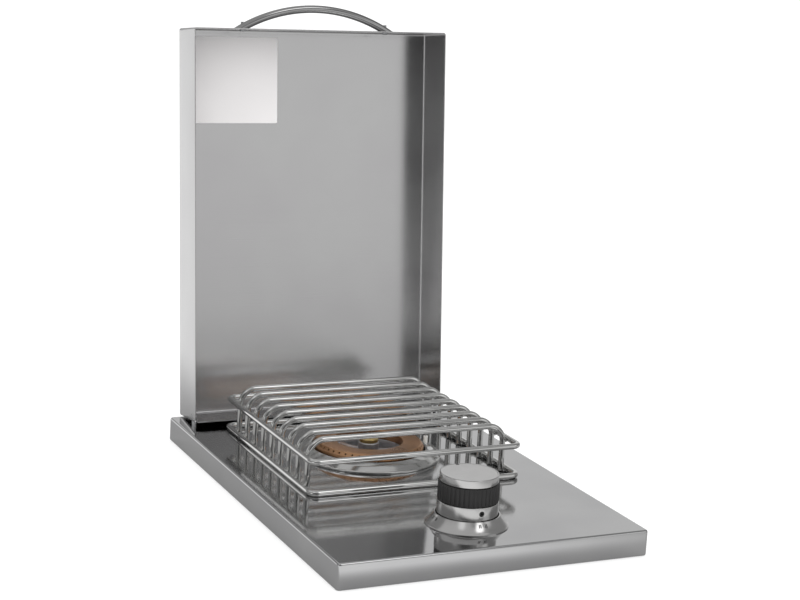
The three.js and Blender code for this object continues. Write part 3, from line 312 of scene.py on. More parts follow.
def turnedGrain():
    # rings left by a lathe: noise over the distance from the axis and the height
    group, given, result = newGroup("turnedGrain", {"Centre X": 0.0, "Centre Y": 0.0, "Across": 900.0})
    where = addNode(group, "TexCoord").outputs["Object"]
    centre = addNode(group, "CombineXYZ", {0: given["Centre X"], 1: given["Centre Y"]})
    out = addNode(group, "VectorMath", {0: where, 1: centre.outputs[0]}, operation="SUBTRACT")
    split = addNode(group, "SeparateXYZ", {0: out.outputs[0]})
    plan = addNode(group, "CombineXYZ", {0: split.outputs["X"], 1: split.outputs["Y"]})
    distance = addNode(group, "VectorMath", {0: plan.outputs[0]}, operation="LENGTH")
    both = addNode(group, "CombineXYZ", {0: distance.outputs["Value"], 2: split.outputs["Z"]})
    fill(group, result, {"Height": noiseOver(group, both.outputs[0], given["Across"], 3.0),
                         "Tone": noiseOver(group, where, 30.0, 2.0)})
    return group


def castGrain():
    # pebbled skin of castings, moulded plastic and paint, with a soft broad tone
    group, given, result = newGroup("castGrain", {"Grain": 900.0, "Patch": 25.0})
    where = addNode(group, "TexCoord").outputs["Object"]
    fill(group, result, {"Height": noiseOver(group, where, given["Grain"], 2.0),
                         "Tone": noiseOver(group, where, given["Patch"], 3.0)})
    return group


grains = {"sheet": sheetGrain(), "turned": turnedGrain(), "cast": castGrain()}
toneStops = {"colour": (0.35, 0.65), "gloss": (0.3, 0.7)}


def newMaterial(name):
    # a plain material, its tree and its shader
    material = bpy.data.materials.new(name)
    material.use_nodes = True
    return material, material.node_tree, material.node_tree.nodes["Principled BSDF"]


def finish(name, grain, dark, light, smooth, rough, depth, values=None, metallic=1.0):
    # colour and roughness follow the grain's broad tone, and its scratches or pebbles raise the surface
    material, tree, shader = newMaterial(name)
    marks = addNode(tree, "Group", values, node_tree=grains[grain])
    tone, height = marks.outputs["Tone"], marks.outputs["Height"]
    ramp = addNode(tree, "ValToRGB", {0: tone})
    for stop, colour, place in zip(ramp.color_ramp.elements, (dark, light), toneStops["colour"]):
        stop.position, stop.color = place, (*colour, 1)
    low, high = toneStops["gloss"]
    gloss = addNode(tree, "MapRange", {0: tone, 1: low, 2: high, 3: smooth, 4: rough})
    bump = addNode(tree, "Bump", {"Strength": 1.0, "Distance": depth * mm, "Height": height})
    fill(tree, shader, {"Metallic": metallic, "Base Color": ramp.outputs["Color"],
                        "Roughness": gloss.outputs[0], "Normal": bump.outputs[0]})
    return material


# places that the pieces share
deckLow, deckHigh = nodeBox("deck")
deckTop = deckHigh[2]
deckMiddle = (deckLow + deckHigh) / 2
pivot = np.array(jointOf["lid_hinge"]["pos_m"]) / mm
knobAxis = np.array(jointOf["knob_turn"]["pos_m"]) / mm
burnerMiddle = sum(nodeBox("flame_ring")) / 2
knobAt = (knobAxis[0], knobAxis[1], deckTop)
burnerAt = (burnerMiddle[0], burnerMiddle[1], deckTop)

# grain, darker and lighter colour, lower and higher roughness, depth in millimetres, grain values, metallic
roundKnob = {"Centre X": knobAt[0] * mm, "Centre Y": knobAt[1] * mm}
roundBurner = {"Centre X": burnerAt[0] * mm, "Centre Y": burnerAt[1] * mm}
finishes = {
    "deckSteel": ("sheet", (0.55, 0.55, 0.555), (0.61, 0.61, 0.61), 0.06, 0.1, 0.006, {"Across": 1500.0}),
    "lidSteel": ("sheet", (0.55, 0.545, 0.55), (0.59, 0.59, 0.59), 0.17, 0.22, 0.03, {"Across": 2200.0}),
    "knobSteel": ("turned", (0.58, 0.575, 0.57), (0.63, 0.625, 0.62), 0.16, 0.22, 0.008, roundKnob),
    "rodSteel": ("cast", (0.66, 0.66, 0.65), (0.76, 0.76, 0.75), 0.04, 0.08, 0.002),
    # the handle is the same steel painted darker: painted shade standing in for the dark reflections along it
    "shadedHandleSteel": ("cast", (0.38, 0.38, 0.38), (0.44, 0.44, 0.44), 0.06, 0.1, 0.004),
    "panSteel": ("turned", (0.62, 0.62, 0.61), (0.7, 0.7, 0.69), 0.1, 0.16, 0.006, roundBurner),
    "zincPlate": ("cast", (0.46, 0.47, 0.48), (0.56, 0.57, 0.58), 0.32, 0.45, 0.01, {"Patch": 60.0}),
    "castAlloy": ("cast", (0.64, 0.64, 0.66), (0.74, 0.73, 0.76), 0.34, 0.46, 0.03, {"Grain": 700.0}),
    "ringBronze": ("turned", (0.5, 0.27, 0.14), (0.63, 0.36, 0.2), 0.26, 0.36, 0.01, roundBurner),
    "capBrass": ("turned", (0.66, 0.48, 0.2), (0.8, 0.62, 0.3), 0.22, 0.32, 0.008, roundBurner),
    "valveBrass": ("cast", (0.62, 0.45, 0.19), (0.74, 0.57, 0.27), 0.3, 0.42, 0.02),
    "glazedCeramic": ("cast", (0.72, 0.7, 0.66), (0.8, 0.78, 0.74), 0.25, 0.35, 0.01, {}, 0.0),
    "gripBlack": ("cast", (0.013, 0.013, 0.013), (0.019, 0.018, 0.018), 0.38, 0.5, 0.02, {}, 0.0),
    "blackSteel": ("cast", (0.012, 0.012, 0.012), (0.02, 0.02, 0.02), 0.3, 0.45, 0.01, {}, 0.0),
    "whitePlate": ("cast", (0.84, 0.82, 0.82), (0.88, 0.86, 0.86), 0.35, 0.45, 0.003, {"Patch": 8.0}, 0.0),
    "dialInk": ("cast", (0.03, 0.03, 0.03), (0.05, 0.05, 0.05), 0.5, 0.6, 0.004, {}, 0.0),
}
looks = {name: finish(name, *row) for name, row in finishes.items()}
print("finishes: %d" % len(looks))

deck = {"sheet": 1.5, "corner": 4.0, "edge": 2.5, "flange": 12.0, "footBend": 1.6, "supportRing": 0.5,
        "ringStep": 1.0, "insideBend": 0.3, "panHole": 75.0, "stemHole": 8.0, "screwHole": 2.0,
        "screwSpread": 51.6, "earX": 154.0, "earSlot": (2.6, 9.8), "cutReach": 5.0}
screwPlaces = [(side * deck["screwSpread"] / 2, knobAxis[1], deckTop) for side in (-1, 1)]


def deckShape(s):
    # outer skin from the top's middle over the edge, down the skirt and round the flange turned in along
    # its foot, then back up the inner skin
    sheet, rest, under = s["sheet"], s["edge"] + s["supportRing"], deckTop - s["sheet"]
    outer = fillet([(rest, deckTop), (0, deckTop), (0, 0), (s["flange"], 0)],
                   [0, s["edge"], s["footBend"], 0])
    inner = fillet([(s["flange"], sheet), (sheet, sheet), (sheet, under), (rest + s["ringStep"], under)],
                   [0, s["insideBend"], s["edge"] - sheet, 0])
    half = (deckHigh - deckLow) / 2
    shape = loft(np.concatenate([outer, inner]), half[0], half[1], s["corner"])
    return moved(shape, deckMiddle[0], deckMiddle[1])


def deckCuts(s):
    # round holes for the pan, the stem and the bezel's screws, and a slot for each hinge ear
    reach = s["cutReach"]
    halfWide, halfLong = np.array(s["earSlot"]) / 2
    cuts = [drill(s["panHole"], -reach, reach, 96, burnerAt),
            drill(s["stemHole"], -reach, reach, 32, knobAt)]
    cuts += [drill(s["screwHole"], -reach, reach, 16, place) for place in screwPlaces]
    for side in (-1, 1):
        x = side * s["earX"]
        cuts.append(block((x - halfWide, pivot[1] - halfLong, deckTop - reach),
                          (x + halfWide, pivot[1] + halfLong, deckTop + reach)))
    return cuts


addPiece("deck_sheet", deckShape(deck), "deckSteel", "frame", ["deck"], deckCuts(deck))
print("deck done")

lid = {"width": 313.0, "length": 449.5, "depth": 57.5, "sheet": 1.2, "corner": 3.0, "edge": 2.8,
       "lipGap": 0.3, "lipRound": 0.35, "pivotInset": 6.5, "supportRing": 0.6, "ringStep": 1.0,
       "sweepRadius": 10.8, "sweepSteps": 13, "pinHole": 2.5, "notch": (2.6, 5.0, 5.7), "notchX": 154.0,
       "notchBack": 3.0, "screwHole": 2.3, "handleFoot": 89.6, "cutDrop": 14.0, "cutReach": 4.0}
lidLip = lid["lipGap"] - (pivot[2] - deckTop)
lidTop = lidLip + lid["depth"]
lidFront = lid["pivotInset"] - lid["length"]
handleZ = lidLip + lid["depth"] / 2
openAngle = radians(jointOf["lid_hinge"]["range_deg"][1])


def opened(shape):
    # from the closed lid drawn about its pivot to the open lid in its place
    return moved(turned(shape, "X", -openAngle), *pivot)


def lidShape(s):
    # outer skin from the middle of the top down to the lip, then the inner skin back up to the middle
    sheet, under, rest = s["sheet"], lidTop - s["sheet"], s["edge"] + s["supportRing"]
    outer = fillet([(rest, lidTop), (0, lidTop), (0, lidLip), (sheet / 2, lidLip)],
                   [0, s["edge"], s["lipRound"], 0])
    inner = fillet([(sheet / 2, lidLip), (sheet, lidLip), (sheet, under), (rest + s["ringStep"], under)],
                   [0, s["lipRound"], s["edge"] - sheet, 0])
    shape = loft(np.concatenate([outer, inner]), s["width"] / 2, s["length"] / 2, s["corner"])
    return moved(shape, 0, s["pivotInset"] - s["length"] / 2)


def lidCuts(s):
    # the lip behind the pivot follows an arc about it, to clear the deck as the lid swings, and each side
    # has a notch for the ear, a hole for the pin and one for the handle's screw
    sweep = arc(s["sweepRadius"], -pi / 2, -pi / 6, s["sweepSteps"])
    outline = np.concatenate([sweep, [(sweep[-1, 0], -s["cutDrop"]), (0, -s["cutDrop"])]])
    cuts = [laidOver(prism(outline, -s["width"], s["width"]))]
    wide, deep, high = s["notch"]
    reach, inset = s["cutReach"], s["pivotInset"]
    for side in (-1, 1):
        left, right = side * s["notchX"] - wide / 2, side * s["notchX"] + wide / 2
        foot = (side * s["handleFoot"], lidFront, handleZ)
        cuts += [block((left, inset - s["notchBack"], -s["cutDrop"]), (right, inset + deep, high)),
                 drill(s["pinHole"], -reach, reach, 24, (side * s["width"] / 2, 0, 0), "Y"),
                 drill(s["screwHole"], -reach, reach, 24, foot, "X")]
    return [opened(cut) for cut in cuts]


addPiece("lid_sheet", opened(lidShape(lid)), "lidSteel", "lid", ["lid"], lidCuts(lid))

handle = {"rod": 9.1, "span": 184.0, "rise": 24.3, "sides": 32, "steps": 72, "trimWide": 140.0,
          "trimDeep": 60.0, "trimDrop": 10.0, "trimGap": 0.05}


def handleShape(s):
    # a round rod along an arc: the axis is the bow's centre plus the bow radius along the angle
    bow = (s["span"] ** 2 / 4 + s["rise"] ** 2) / (2 * s["rise"])
    reach = np.arcsin(s["span"] / 2 / bow) + s["rod"] / bow
    angle = np.linspace(-pi / 2 - reach, -pi / 2 + reach, s["steps"])
    path = around(bow, angle, handleZ) + [0, lidFront - s["rise"] + bow, 0]
    return rod(path, s["rod"] / 2, (0, 0, 1), s["sides"])


def handleTrim(s):
    # what the rod's ends would have inside the lid
    return block((-s["trimWide"], lidFront - s["trimGap"], -s["trimDrop"]),
                 (s["trimWide"], lidFront + s["trimDeep"], s["trimDeep"]))


addPiece("lid_handle_bar", opened(handleShape(handle)), "shadedHandleSteel", "lid",
         ["lid_handle"], [opened(handleTrim(handle))])

plate = {"left": -147.0, "right": -36.0, "rear": 341.0, "front": 440.5, "thick": 0.5, "corner": 1.5,
         "edge": (0.2, 0.15), "seat": 0.02}


def plateShape(s):
    # a thin sheet with rounded corners against the inside of the lid
    under = lidTop - lid["sheet"]
    face = under - s["thick"]
    half = (s["right"] - s["left"]) / 2, (s["front"] - s["rear"]) / 2
    inset, rise = s["edge"]
    profile = [(inset, face), (0, face + rise), (0, under - s["seat"])]
    y = lid["pivotInset"] - (s["rear"] + s["front"]) / 2
    return moved(loft(profile, half[0], half[1], s["corner"], 4), (s["left"] + s["right"]) / 2, y)


addPiece("bare_plate", opened(plateShape(plate)), "whitePlate", "lid")

hinge = {"earX": 154.0, "earSheet": 2.0, "earRadius": 4.6, "earSteps": 17, "earEdge": 0.2, "footWide": 12.0,
         "footLong": 16.0, "seat": 0.3, "pinRadius": 2.2, "pinLength": 4.7, "pinEdge": 0.3}


def earShape(s, side):
    # an upright with a round eye, drawn flat and stood up, on a foot under the deck
    sheet, radius = s["earSheet"], s["earRadius"]
    foot = deckTop - deck["sheet"] - s["seat"] - pivot[2]
    corners = [(-radius, foot - sheet), (radius, foot - sheet)]
    outline = np.concatenate([arc(radius, 0, pi, s["earSteps"]), corners])
    x = side * s["earX"] - sheet / 2
    inner = side * (s["earX"] - sheet / 2)
    outer = inner + side * s["footWide"]
    base = block((min(inner, outer), -s["footLong"] / 2, foot - sheet),
                 (max(inner, outer), s["footLong"] / 2, foot))
    return moved(joinShapes(laidOver(prism(outline, x, x + sheet)), base), 0, pivot[1], pivot[2])


def pinShape(s, side):
    # a turned pin with rounded ends along X
    half, r, edge = s["pinLength"] / 2, s["pinRadius"], s["pinEdge"]
    profile = fillet([(0, -half), (r, -half), (r, half), (0, half)], [0, edge, edge, 0], 3)
    return moved(turned(lathe(profile, 24), "Y"), side * (lid["width"] / 2 - half), pivot[1], pivot[2])


for word, side in hands:
    addPiece("ear_" + word, earShape(hinge, side), "zincPlate", "frame",
             ["hinge_ear_" + word], bevel=hinge["earEdge"])
    addPiece("pin_" + word, pinShape(hinge, side), "zincPlate", "lid", ["hinge_pin_" + word])

panHead = {"radius": 3.6, "height": 2.2, "shank": 2.0, "length": 9.2, "slot": 0.9, "slotDepth": 0.9,
           "slotShare": 0.55, "slotOver": 3.0, "rise": 0.7, "seat": 0.05,
           "fillets": [0, 0.3, 0, 0.2, 0.6, 0.8, 0]}


def panHeadShape(s):
    # a domed head standing on z = 0 with its shank below
    profile = [(0, -s["length"]), (s["shank"], -s["length"]), (s["shank"], 0), (s["radius"], 0),
               (s["radius"], s["height"] - s["rise"]), (s["radius"] / 2, s["height"]), (0, s["height"])]
    return lathe(fillet(profile, s["fillets"], 3), 32)


def crossCuts(s):
    # two slots that cross in the top of the head
    depth, high = s["height"] - s["slotDepth"], s["height"] - s["slotDepth"] + s["slotOver"]
    long, wide = s["radius"] * s["slotShare"], s["slot"] / 2
    return [block((-x, -y, depth), (x, y, high)) for x, y in ((long, wide), (wide, long))]


def insideLid(shape, side):
    # from upright at the origin to the inside of the lid's front wall, at a foot of the handle
    place = side * lid["handleFoot"], lidFront + lid["sheet"] + panHead["seat"], handleZ
    return opened(moved(turned(shape, "X", -pi / 2), *place))


for word, side in hands:
    addPiece("lid_screw_" + word, insideLid(panHeadShape(panHead), side), "zincPlate", "lid",
             ["handle_screw_" + word], [insideLid(cut, side) for cut in crossCuts(panHead)])
print("lid done")

grate = {"rod": 6.35, "corner": 9.0, "bend": 18.0, "sides": 20, "bendSteps": 10, "chamfer": 0.5,
         "weldLong": 3.4, "weldWide": 1.7, "weldApart": 1.9, "weldOut": 0.1}
grateRadius = grate["rod"] / 2


def ringShape(low, high, s):
    # a closed rounded rectangle of rod
    level = (low[2] + high[2]) / 2
    (left, front, _), (right, rear, _) = low + grateRadius, high - grateRadius
    corners = [(left, front, level), (right, front, level), (right, rear, level), (left, rear, level)]
    path = fillet(corners, s["corner"], s["bendSteps"])
    return rod(path, grateRadius, (0, 0, 1), s["sides"], closed=True)


def barShape(low, high, s):
    # an upright arch of rod: up one leg, round the bend, across and down the other leg
    y = (low[1] + high[1]) / 2
    left, right, foot, top = low[0] + grateRadius, high[0] - grateRadius, low[2], high[2] - grateRadius
    corners = [(left, y, foot), (left, y, top), (right, y, top), (right, y, foot)]
    path = fillet(corners, [0, s["bend"], s["bend"], 0], s["bendSteps"])
    return rod(path, grateRadius, (0, 1, 0), s["sides"], chamfer=s["chamfer"])


def weldShape(place, s):
    # a small bead: an egg drawn out along Z
    profile = arc(1, -pi / 2, pi / 2, 7) * (s["weldWide"], s["weldLong"])
    return moved(lathe(profile, 10), *place)


ringLevels = []
for word in ("lower", "upper"):
    name = "grate_ring_" + word
    low, high = nodeBox(name)
    ringLevels.append((low[2] + high[2]) / 2)
    addPiece("rod_ring_" + word, ringShape(low, high, grate), "rodSteel", "frame", [name])
welds = []
for number in range(1, 10):
    name = "grate_bar_%d" % number
    low, high = nodeBox(name)
    addPiece("rod_bar_%d" % number, barShape(low, high, grate), "rodSteel", "frame", [name])
    for x in (low[0] - grate["weldOut"], high[0] + grate["weldOut"]):
        welds += [weldShape((x, (low[1] + high[1]) / 2 + side * grate["weldApart"], level), grate)
                  for level in ringLevels for side in (-1, 1)]
addPiece("grate_welds", joinShapes(*welds), "rodSteel", "frame")
print("grate done")

pan = {"rim": 80.5, "bead": 79.6, "beadTop": 2.6, "beadRound": 0.7, "beadFlat": 1.0, "crest": 64.8,
       "crestTop": 9.2, "crestFlat": 0.6, "crestRound": 0.9, "wall": 63.4, "bore": 22.0, "sheet": 0.9,
       "drop": 6.5, "seat": 0.3, "bulge": 0.5, "underInset": (0.4, 0.9, 0.3), "igniterHole": 2.7,
       "igniterReach": 70.5, "cutReach": 12.0,
       "fillets": [0.1, 0.5, 0.4, 0.3, 14, 0.8, 0.6, 1.2, 0.2, 0.2, 1.2, 0.3, 0.3, 14, 0.2, 0.1]}


def panShape(s):
    # a bead on the deck, a bulging flank up to the crest, the wall down inside it and the floor, then the
    # underside back out
    t, seat, floor, middle = s["sheet"], s["seat"], -s["drop"], (s["bead"] + s["crest"]) / 2
    bead, beadTop, crest, crestTop = s["bead"], s["beadTop"], s["crest"], s["crestTop"]
    half = (beadTop + crestTop) / 2 + s["bulge"]
    crestIn, flankIn, beadIn = s["underInset"]
    upper = [(s["rim"], seat), (s["rim"], beadTop - s["beadRound"]), (bead, beadTop),
             (bead - s["beadFlat"], beadTop), (middle, half), (crest + s["crestFlat"], crestTop),
             (s["wall"], crestTop - s["crestRound"]), (s["wall"], floor), (s["bore"], floor)]
    under = [(s["bore"], floor - t), (s["wall"] + t, floor - t), (s["wall"] + t, crestTop - 2 * t),
             (crest + crestIn, crestTop - t), (middle, half - t), (bead - flankIn, beadTop - t),
             (bead - beadIn, seat)]
    return lathe(fillet(upper + under, s["fillets"]), 160, closed=True)


igniterAt = np.add(burnerAt, (pan["igniterReach"], 0, 0))
addPiece("pan_pressing", moved(panShape(pan), *burnerAt), "panSteel", "frame", ["drip_pan"],
         [drill(pan["igniterHole"], 0, pan["cutReach"], 24, igniterAt)])

bowl = {"outer": 61.2, "inner": 38.0, "wall": 2.6, "drop": 5.0, "floor": 2.0, "top": 5.7, "hub": 11.8,
        "hubTop": 13.5, "hubTaper": 1.0, "neck": 15.0, "neckDrop": 19.0, "neckBore": 12.3, "spokes": 6,
        "spokeWide": 8.0, "spokeTop": 5.0, "spokeFoot": 0.5, "waist": 0.22, "sag": 1.6, "intoHub": 2.0,
        "intoWall": 1.2, "channelFillet": 0.6, "hubFillets": [0, 0.5, 1.5, 0], "neckFillet": 0.4}


def bowlShape(s):
    # a ring channel, a tapered hub and a neck, each turned, with the spokes between them
    under, top = -s["drop"], s["top"]
    outer, inside = s["outer"], s["outer"] - s["wall"]
    wall, floor = s["inner"] + s["wall"], under + s["floor"]
    channel = [(s["inner"], under), (inside, under), (outer, under + s["wall"]), (outer, top),
               (inside, top), (inside, floor), (wall, floor), (wall, top), (s["inner"], top)]
    foot = under + s["hubTaper"]
    hub = [(0, foot), (s["hub"] - s["hubTaper"], foot), (s["hub"], s["hubTop"]), (0, s["hubTop"])]
    bore, neckFoot = s["neckBore"], -s["neckDrop"]
    neck = [(bore, neckFoot), (s["neck"], neckFoot), (s["neck"], 0), (bore, 0)]
    shapes = [lathe(fillet(channel, s["channelFillet"], 3), 96, closed=True),
              lathe(fillet(hub, s["hubFillets"], 4), 64),
              lathe(fillet(neck, s["neckFillet"], 2), 48, closed=True)]
    for spoke in range(s["spokes"]):
        shapes.append(turned(spokeShape(s), "Z", 2 * pi * (spoke + 0.5) / s["spokes"]))
    return joinShapes(*shapes)


def spokeShape(s):
    # a cast rib along Y: its section is a rounded block, sign(cos) sqrt|cos| by sign(sin) sqrt|sin|, and
    # its width and top dip in a smooth arch between the hub and the channel
    along = np.linspace(0, 1, 13)[:, None]
    dip = np.sin(pi * along) ** 0.8
    start, end = s["hub"] - s["intoHub"], s["inner"] + s["intoWall"]
    across, upward = np.cos(circle(20)), np.sin(circle(20))
    wide = (s["spokeWide"] / 2) * (1 - s["waist"] * dip)
    top, base = s["spokeTop"] - s["sag"] * dip, s["spokeFoot"] - s["drop"]
    x = np.sign(across) * np.abs(across) ** 0.5 * wide
    z = (top + base) / 2 + np.sign(upward) * np.abs(upward) ** 0.5 * (top - base) / 2
    return gridShape(np.stack([x, start + (end - start) * along + 0 * x, z], axis=-1), capEnds=True)


addPiece("bowl_casting", moved(bowlShape(bowl), *burnerAt), "castAlloy", "frame",
         ["burner_bowl", "burner_spider", "burner_hub"])

ring = {"outer": 61.5, "inner": 38.0, "top": 15.5, "base": 6.0, "wall": 2.0, "chamferWide": 3.5,
        "chamferHigh": 4.0, "underChamfer": (0.8, 0.9), "ports": 48, "portRadius": 1.1, "cutReach": 3.0,
        "fillets": [0.2, 0.3, 0.6, 0.6, 0.8, 0.3, 0.2, 0.3, 0.3, 0.3]}


def flameRingShape(s):
    # a channel turned over, with a chamfer along its outer top edge
    shoulder, foot = s["outer"] - s["chamferWide"], s["top"] - s["chamferHigh"]
    base, w, under = s["base"], s["wall"], s["top"] - s["wall"]
    inward, down = s["underChamfer"]
    profile = [(s["outer"] - w, base), (s["outer"], base), (s["outer"], foot), (shoulder, s["top"]),
               (s["inner"], s["top"]), (s["inner"], base), (s["inner"] + w, base), (s["inner"] + w, under),
               (shoulder - inward, under), (s["outer"] - w, foot - down)]
    return lathe(fillet(profile, s["fillets"], 3), 192, closed=True)


def portCuts(s):
    # a short drill square to the chamfer at every port
    slope = np.arctan2(s["chamferWide"], s["chamferHigh"])
    port = turned(drill(s["portRadius"], -s["cutReach"], s["cutReach"], 14), "X", slope)
    port = moved(port, 0, s["chamferWide"] / 2 - s["outer"], s["top"] - s["chamferHigh"] / 2)
    return [moved(turned(port, "Z", 2 * pi * (count + 0.5) / s["ports"]), *burnerAt)
            for count in range(s["ports"])]


addPiece("ring_turning", moved(flameRingShape(ring), *burnerAt), "ringBronze", "frame",
         ["flame_ring"], portCuts(ring))

cap = {"radius": 10.6, "height": 6.5, "seat": 13.6, "stem": 4.0, "stemLength": 4.8, "sideShare": 0.55,
       "slopeShare": 0.45, "fillets": [0, 0.3, 0, 0.5, 1.0, 1.4, 0]}


def capShape(s):
    # a low turned dome with a stem in the hub
    under, foot, high = s["seat"], s["seat"] - s["stemLength"], s["height"]
    profile = [(0, foot), (s["stem"], foot), (s["stem"], under), (s["radius"], under),
               (s["radius"], under + high * s["sideShare"]),
               (s["radius"] - high * s["slopeShare"], under + high), (0, under + high)]
    return lathe(fillet(profile, s["fillets"]), 64)


addPiece("cap_turning", moved(capShape(cap), *burnerAt), "capBrass", "frame", ["centre_cap"])

igniter = {"reach": 70.5, "tip": 62.4, "bore": 1.0, "radius": 2.4, "top": 14.5, "drop": 22.0, "seat": -12.7,
           "collar": 4.4, "collarHigh": 2.6, "wire": 0.8, "wireLength": 4.2, "wireBend": 2.0,
           "wireChamfer": 0.25, "fillets": [0.2, 0.4, 0, 0.5, 0.5, 0, 0.7, 0.1]}


def ceramicShape(s):
    # a turned sleeve with a collar where it is held
    radius, seat, shoulder = s["radius"], s["seat"], s["seat"] + s["collarHigh"]
    profile = [(s["bore"], -s["drop"]), (radius, -s["drop"]), (radius, seat), (s["collar"], seat),
               (s["collar"], shoulder), (radius, shoulder), (radius, s["top"]), (s["bore"], s["top"])]
    return moved(lathe(fillet(profile, s["fillets"], 3), 32, closed=True), s["reach"])


def electrodeShape(s):
    # a wire up through the sleeve, bent towards the flame ring
    low, high = -s["drop"] - s["wireLength"], s["top"] + s["wireLength"]
    corners = [(s["reach"], 0, low), (s["reach"], 0, high), (s["tip"], 0, high)]
    path = fillet(corners, [0, s["wireBend"], 0], 8)
    return rod(path, s["wire"], (0, 1, 0), 14, chamfer=s["wireChamfer"])


addPiece("igniter_sleeve", moved(ceramicShape(igniter), *burnerAt), "glazedCeramic", "frame",
         ["igniter_ceramic"])
addPiece("igniter_wire", moved(electrodeShape(igniter), *burnerAt), "zincPlate", "frame",
         ["igniter_electrode"])
print("burner done")

bezel = {"radius": 42.5, "neck": 33.4, "height": 11.4, "wall": 1.1, "foot": 0.9, "power": 1.3, "floor": 1.2,
         "seat": 0.1, "crown": 0.15, "hole": 8.0, "screwHole": 2.0, "steps": 14, "cutReach": 3.0}


def bezelFlank(s, share):
    # radius and height of the flank at a share of the way from its foot to its neck
    radius = s["radius"] + (s["neck"] - s["radius"]) * share
    height = s["seat"] + s["foot"] + (s["height"] - s["foot"]) * share ** s["power"]
    return radius, height


def bezelShape(s):
    # a shallow flared cone with a floor: foot, flank, narrow crown, inside wall and floor
    flank = np.stack(bezelFlank(s, np.linspace(0, 1, s["steps"])), axis=-1)
    inner, top, floor = s["neck"] - s["wall"], s["seat"] + s["height"], s["seat"] + s["floor"]
    profile = np.concatenate([[(s["radius"], s["seat"])], flank,
                              [(s["neck"] - s["wall"] / 2, top + s["crown"]), (inner, top), (inner, floor),
                               (s["hole"], floor), (s["hole"], s["seat"])]])
    return lathe(profile, 128, closed=True)


addPiece("bezel_turning", moved(bezelShape(bezel), *knobAt), "knobSteel", "frame",
         ["knob_bezel"], [drill(bezel["screwHole"], -bezel["cutReach"], bezel["cutReach"], 16, place)
                          for place in screwPlaces])

dial = {"low": 0.62, "high": 0.86, "middle": 0.74, "wide": 0.6, "proud": 0.05, "size": 3.6,
        "beside": (4.0, 6.5), "stretch": 1.25, "numerals": {"0": 90.0, "2": 180.0, "1": 270.0}}


def ontoFlank(angle, share, s):
    # angle round the knob and share up the flank, stood just proud of it
    radius, height = bezelFlank(bezel, share)
    return around(radius + s["proud"], angle, height + s["proud"])


def tickShape(degreesRound, s):
    # a small patch of the flank: angle by share
    half = s["wide"] / bezel["radius"]
    angle = radians(degreesRound) + np.linspace(-half, half, 3)[None, :]
    share = np.linspace(s["low"], s["high"], 4)[:, None]
    return gridShape(ontoFlank(angle, share, s), closeColumns=False)


def numeralShape(word, degreesRound, s):
    # the font's outline filled in, its width bent round the bezel and its height laid up the flank
    curve = bpy.data.curves.new("numeral", "FONT")
    curve.body, curve.size, curve.align_x, curve.align_y = word, s["size"], "CENTER", "CENTER"
    written = bpy.data.objects.new("numeral", curve)
    bpy.context.collection.objects.link(written)
    mesh = bpy.data.meshes.new_from_object(written.evaluated_get(bpy.context.evaluated_depsgraph_get()))
    flat = np.empty(len(mesh.vertices) * 3)
    mesh.vertices.foreach_get("co", flat)
    across, upward, _ = flat.reshape(-1, 3).T
    faces = [list(face.vertices) for face in mesh.polygons]
    bpy.data.objects.remove(written)
    bpy.data.meshes.remove(mesh)
    angle = radians(degreesRound) + across / bezelFlank(bezel, s["middle"])[0]
    return ontoFlank(angle, s["middle"] + upward / (bezel["height"] * s["stretch"]), s), faces


marks = []
for word, place in dial["numerals"].items():
    marks.append(numeralShape(word, place, dial))
    marks += [tickShape(place + side * away, dial) for side in (-1, 1) for away in dial["beside"]]
addPiece("dial_marks", moved(joinShapes(*marks), *knobAt), "dialInk", "frame")

skirt = {"radius": 31.25, "wall": 1.5, "web": 2.0, "bore": 19.3, "edge": 0.5, "boreEdge": 0.2,
         "footEdge": 0.3, "insideBend": 0.8, "screwHole": 2.85, "screwDrop": 6.0, "cutReach": 20.0,
         "cutInside": 8.0}
screwZ = nodeBox("knob_skirt")[1][2] - skirt["screwDrop"]


def onKnob(shapeOf, s, node):
    # a piece turned about the knob's axis, from the foot to the top of its CAD node
    low, high = nodeBox(node)
    return moved(shapeOf(s, low[2], high[2]), *knobAxis[:2])


def skirtShape(s, base, top):
    # a turned cup upside down: wall, web and bore
    inside, web = s["radius"] - s["wall"], top - s["web"]
    profile = [(inside, base), (s["radius"], base), (s["radius"], top), (s["bore"], top), (s["bore"], web),
               (inside, web)]
    radii = [s["footEdge"], s["edge"], s["edge"], s["boreEdge"], s["boreEdge"], s["insideBend"]]
    return lathe(fillet(profile, radii, 3), 128, closed=True)


screwMouth = (knobAxis[0], knobAxis[1] - skirt["radius"] + skirt["cutInside"], screwZ)
addPiece("knob_sleeve", onKnob(skirtShape, skirt, "knob_skirt"), "knobSteel", "knob",
         ["knob_skirt"], [drill(skirt["screwHole"], 0, skirt["cutReach"], 32, screwMouth, "X")])

grip = {"radius": 31.0, "flutes": 40, "depth": 0.8, "bore": 19.3, "edge": 0.5, "boreEdge": 0.2,
        "sides": 480, "sharpness": 2.2, "fade": 6}


def gripShape(s, base, top):
    # the rim's radius falls by the flute depth in rounded grooves:
    # depth * (0.5 + 0.5 cos(flutes * angle)) ^ sharpness
    angle = circle(s["sides"])
    groove = s["depth"] * (0.5 + 0.5 * np.cos(s["flutes"] * angle)) ** s["sharpness"]
    profile = fillet([(s["bore"], base), (s["radius"], base), (s["radius"], top), (s["bore"], top)],
                     [s["boreEdge"], s["edge"], s["edge"], s["boreEdge"]], 3)
    outward, height = profile[:, :1], profile[:, 1:]
    rim = np.clip((outward - s["bore"]) / (s["radius"] - s["bore"]), 0, 1) ** s["fade"]
    return gridShape(around(outward - groove * rim, angle, height), closeRows=True)


addPiece("grip_moulding", onKnob(gripShape, grip, "knob_grip"), "gripBlack", "knob",
         ["knob_grip"])

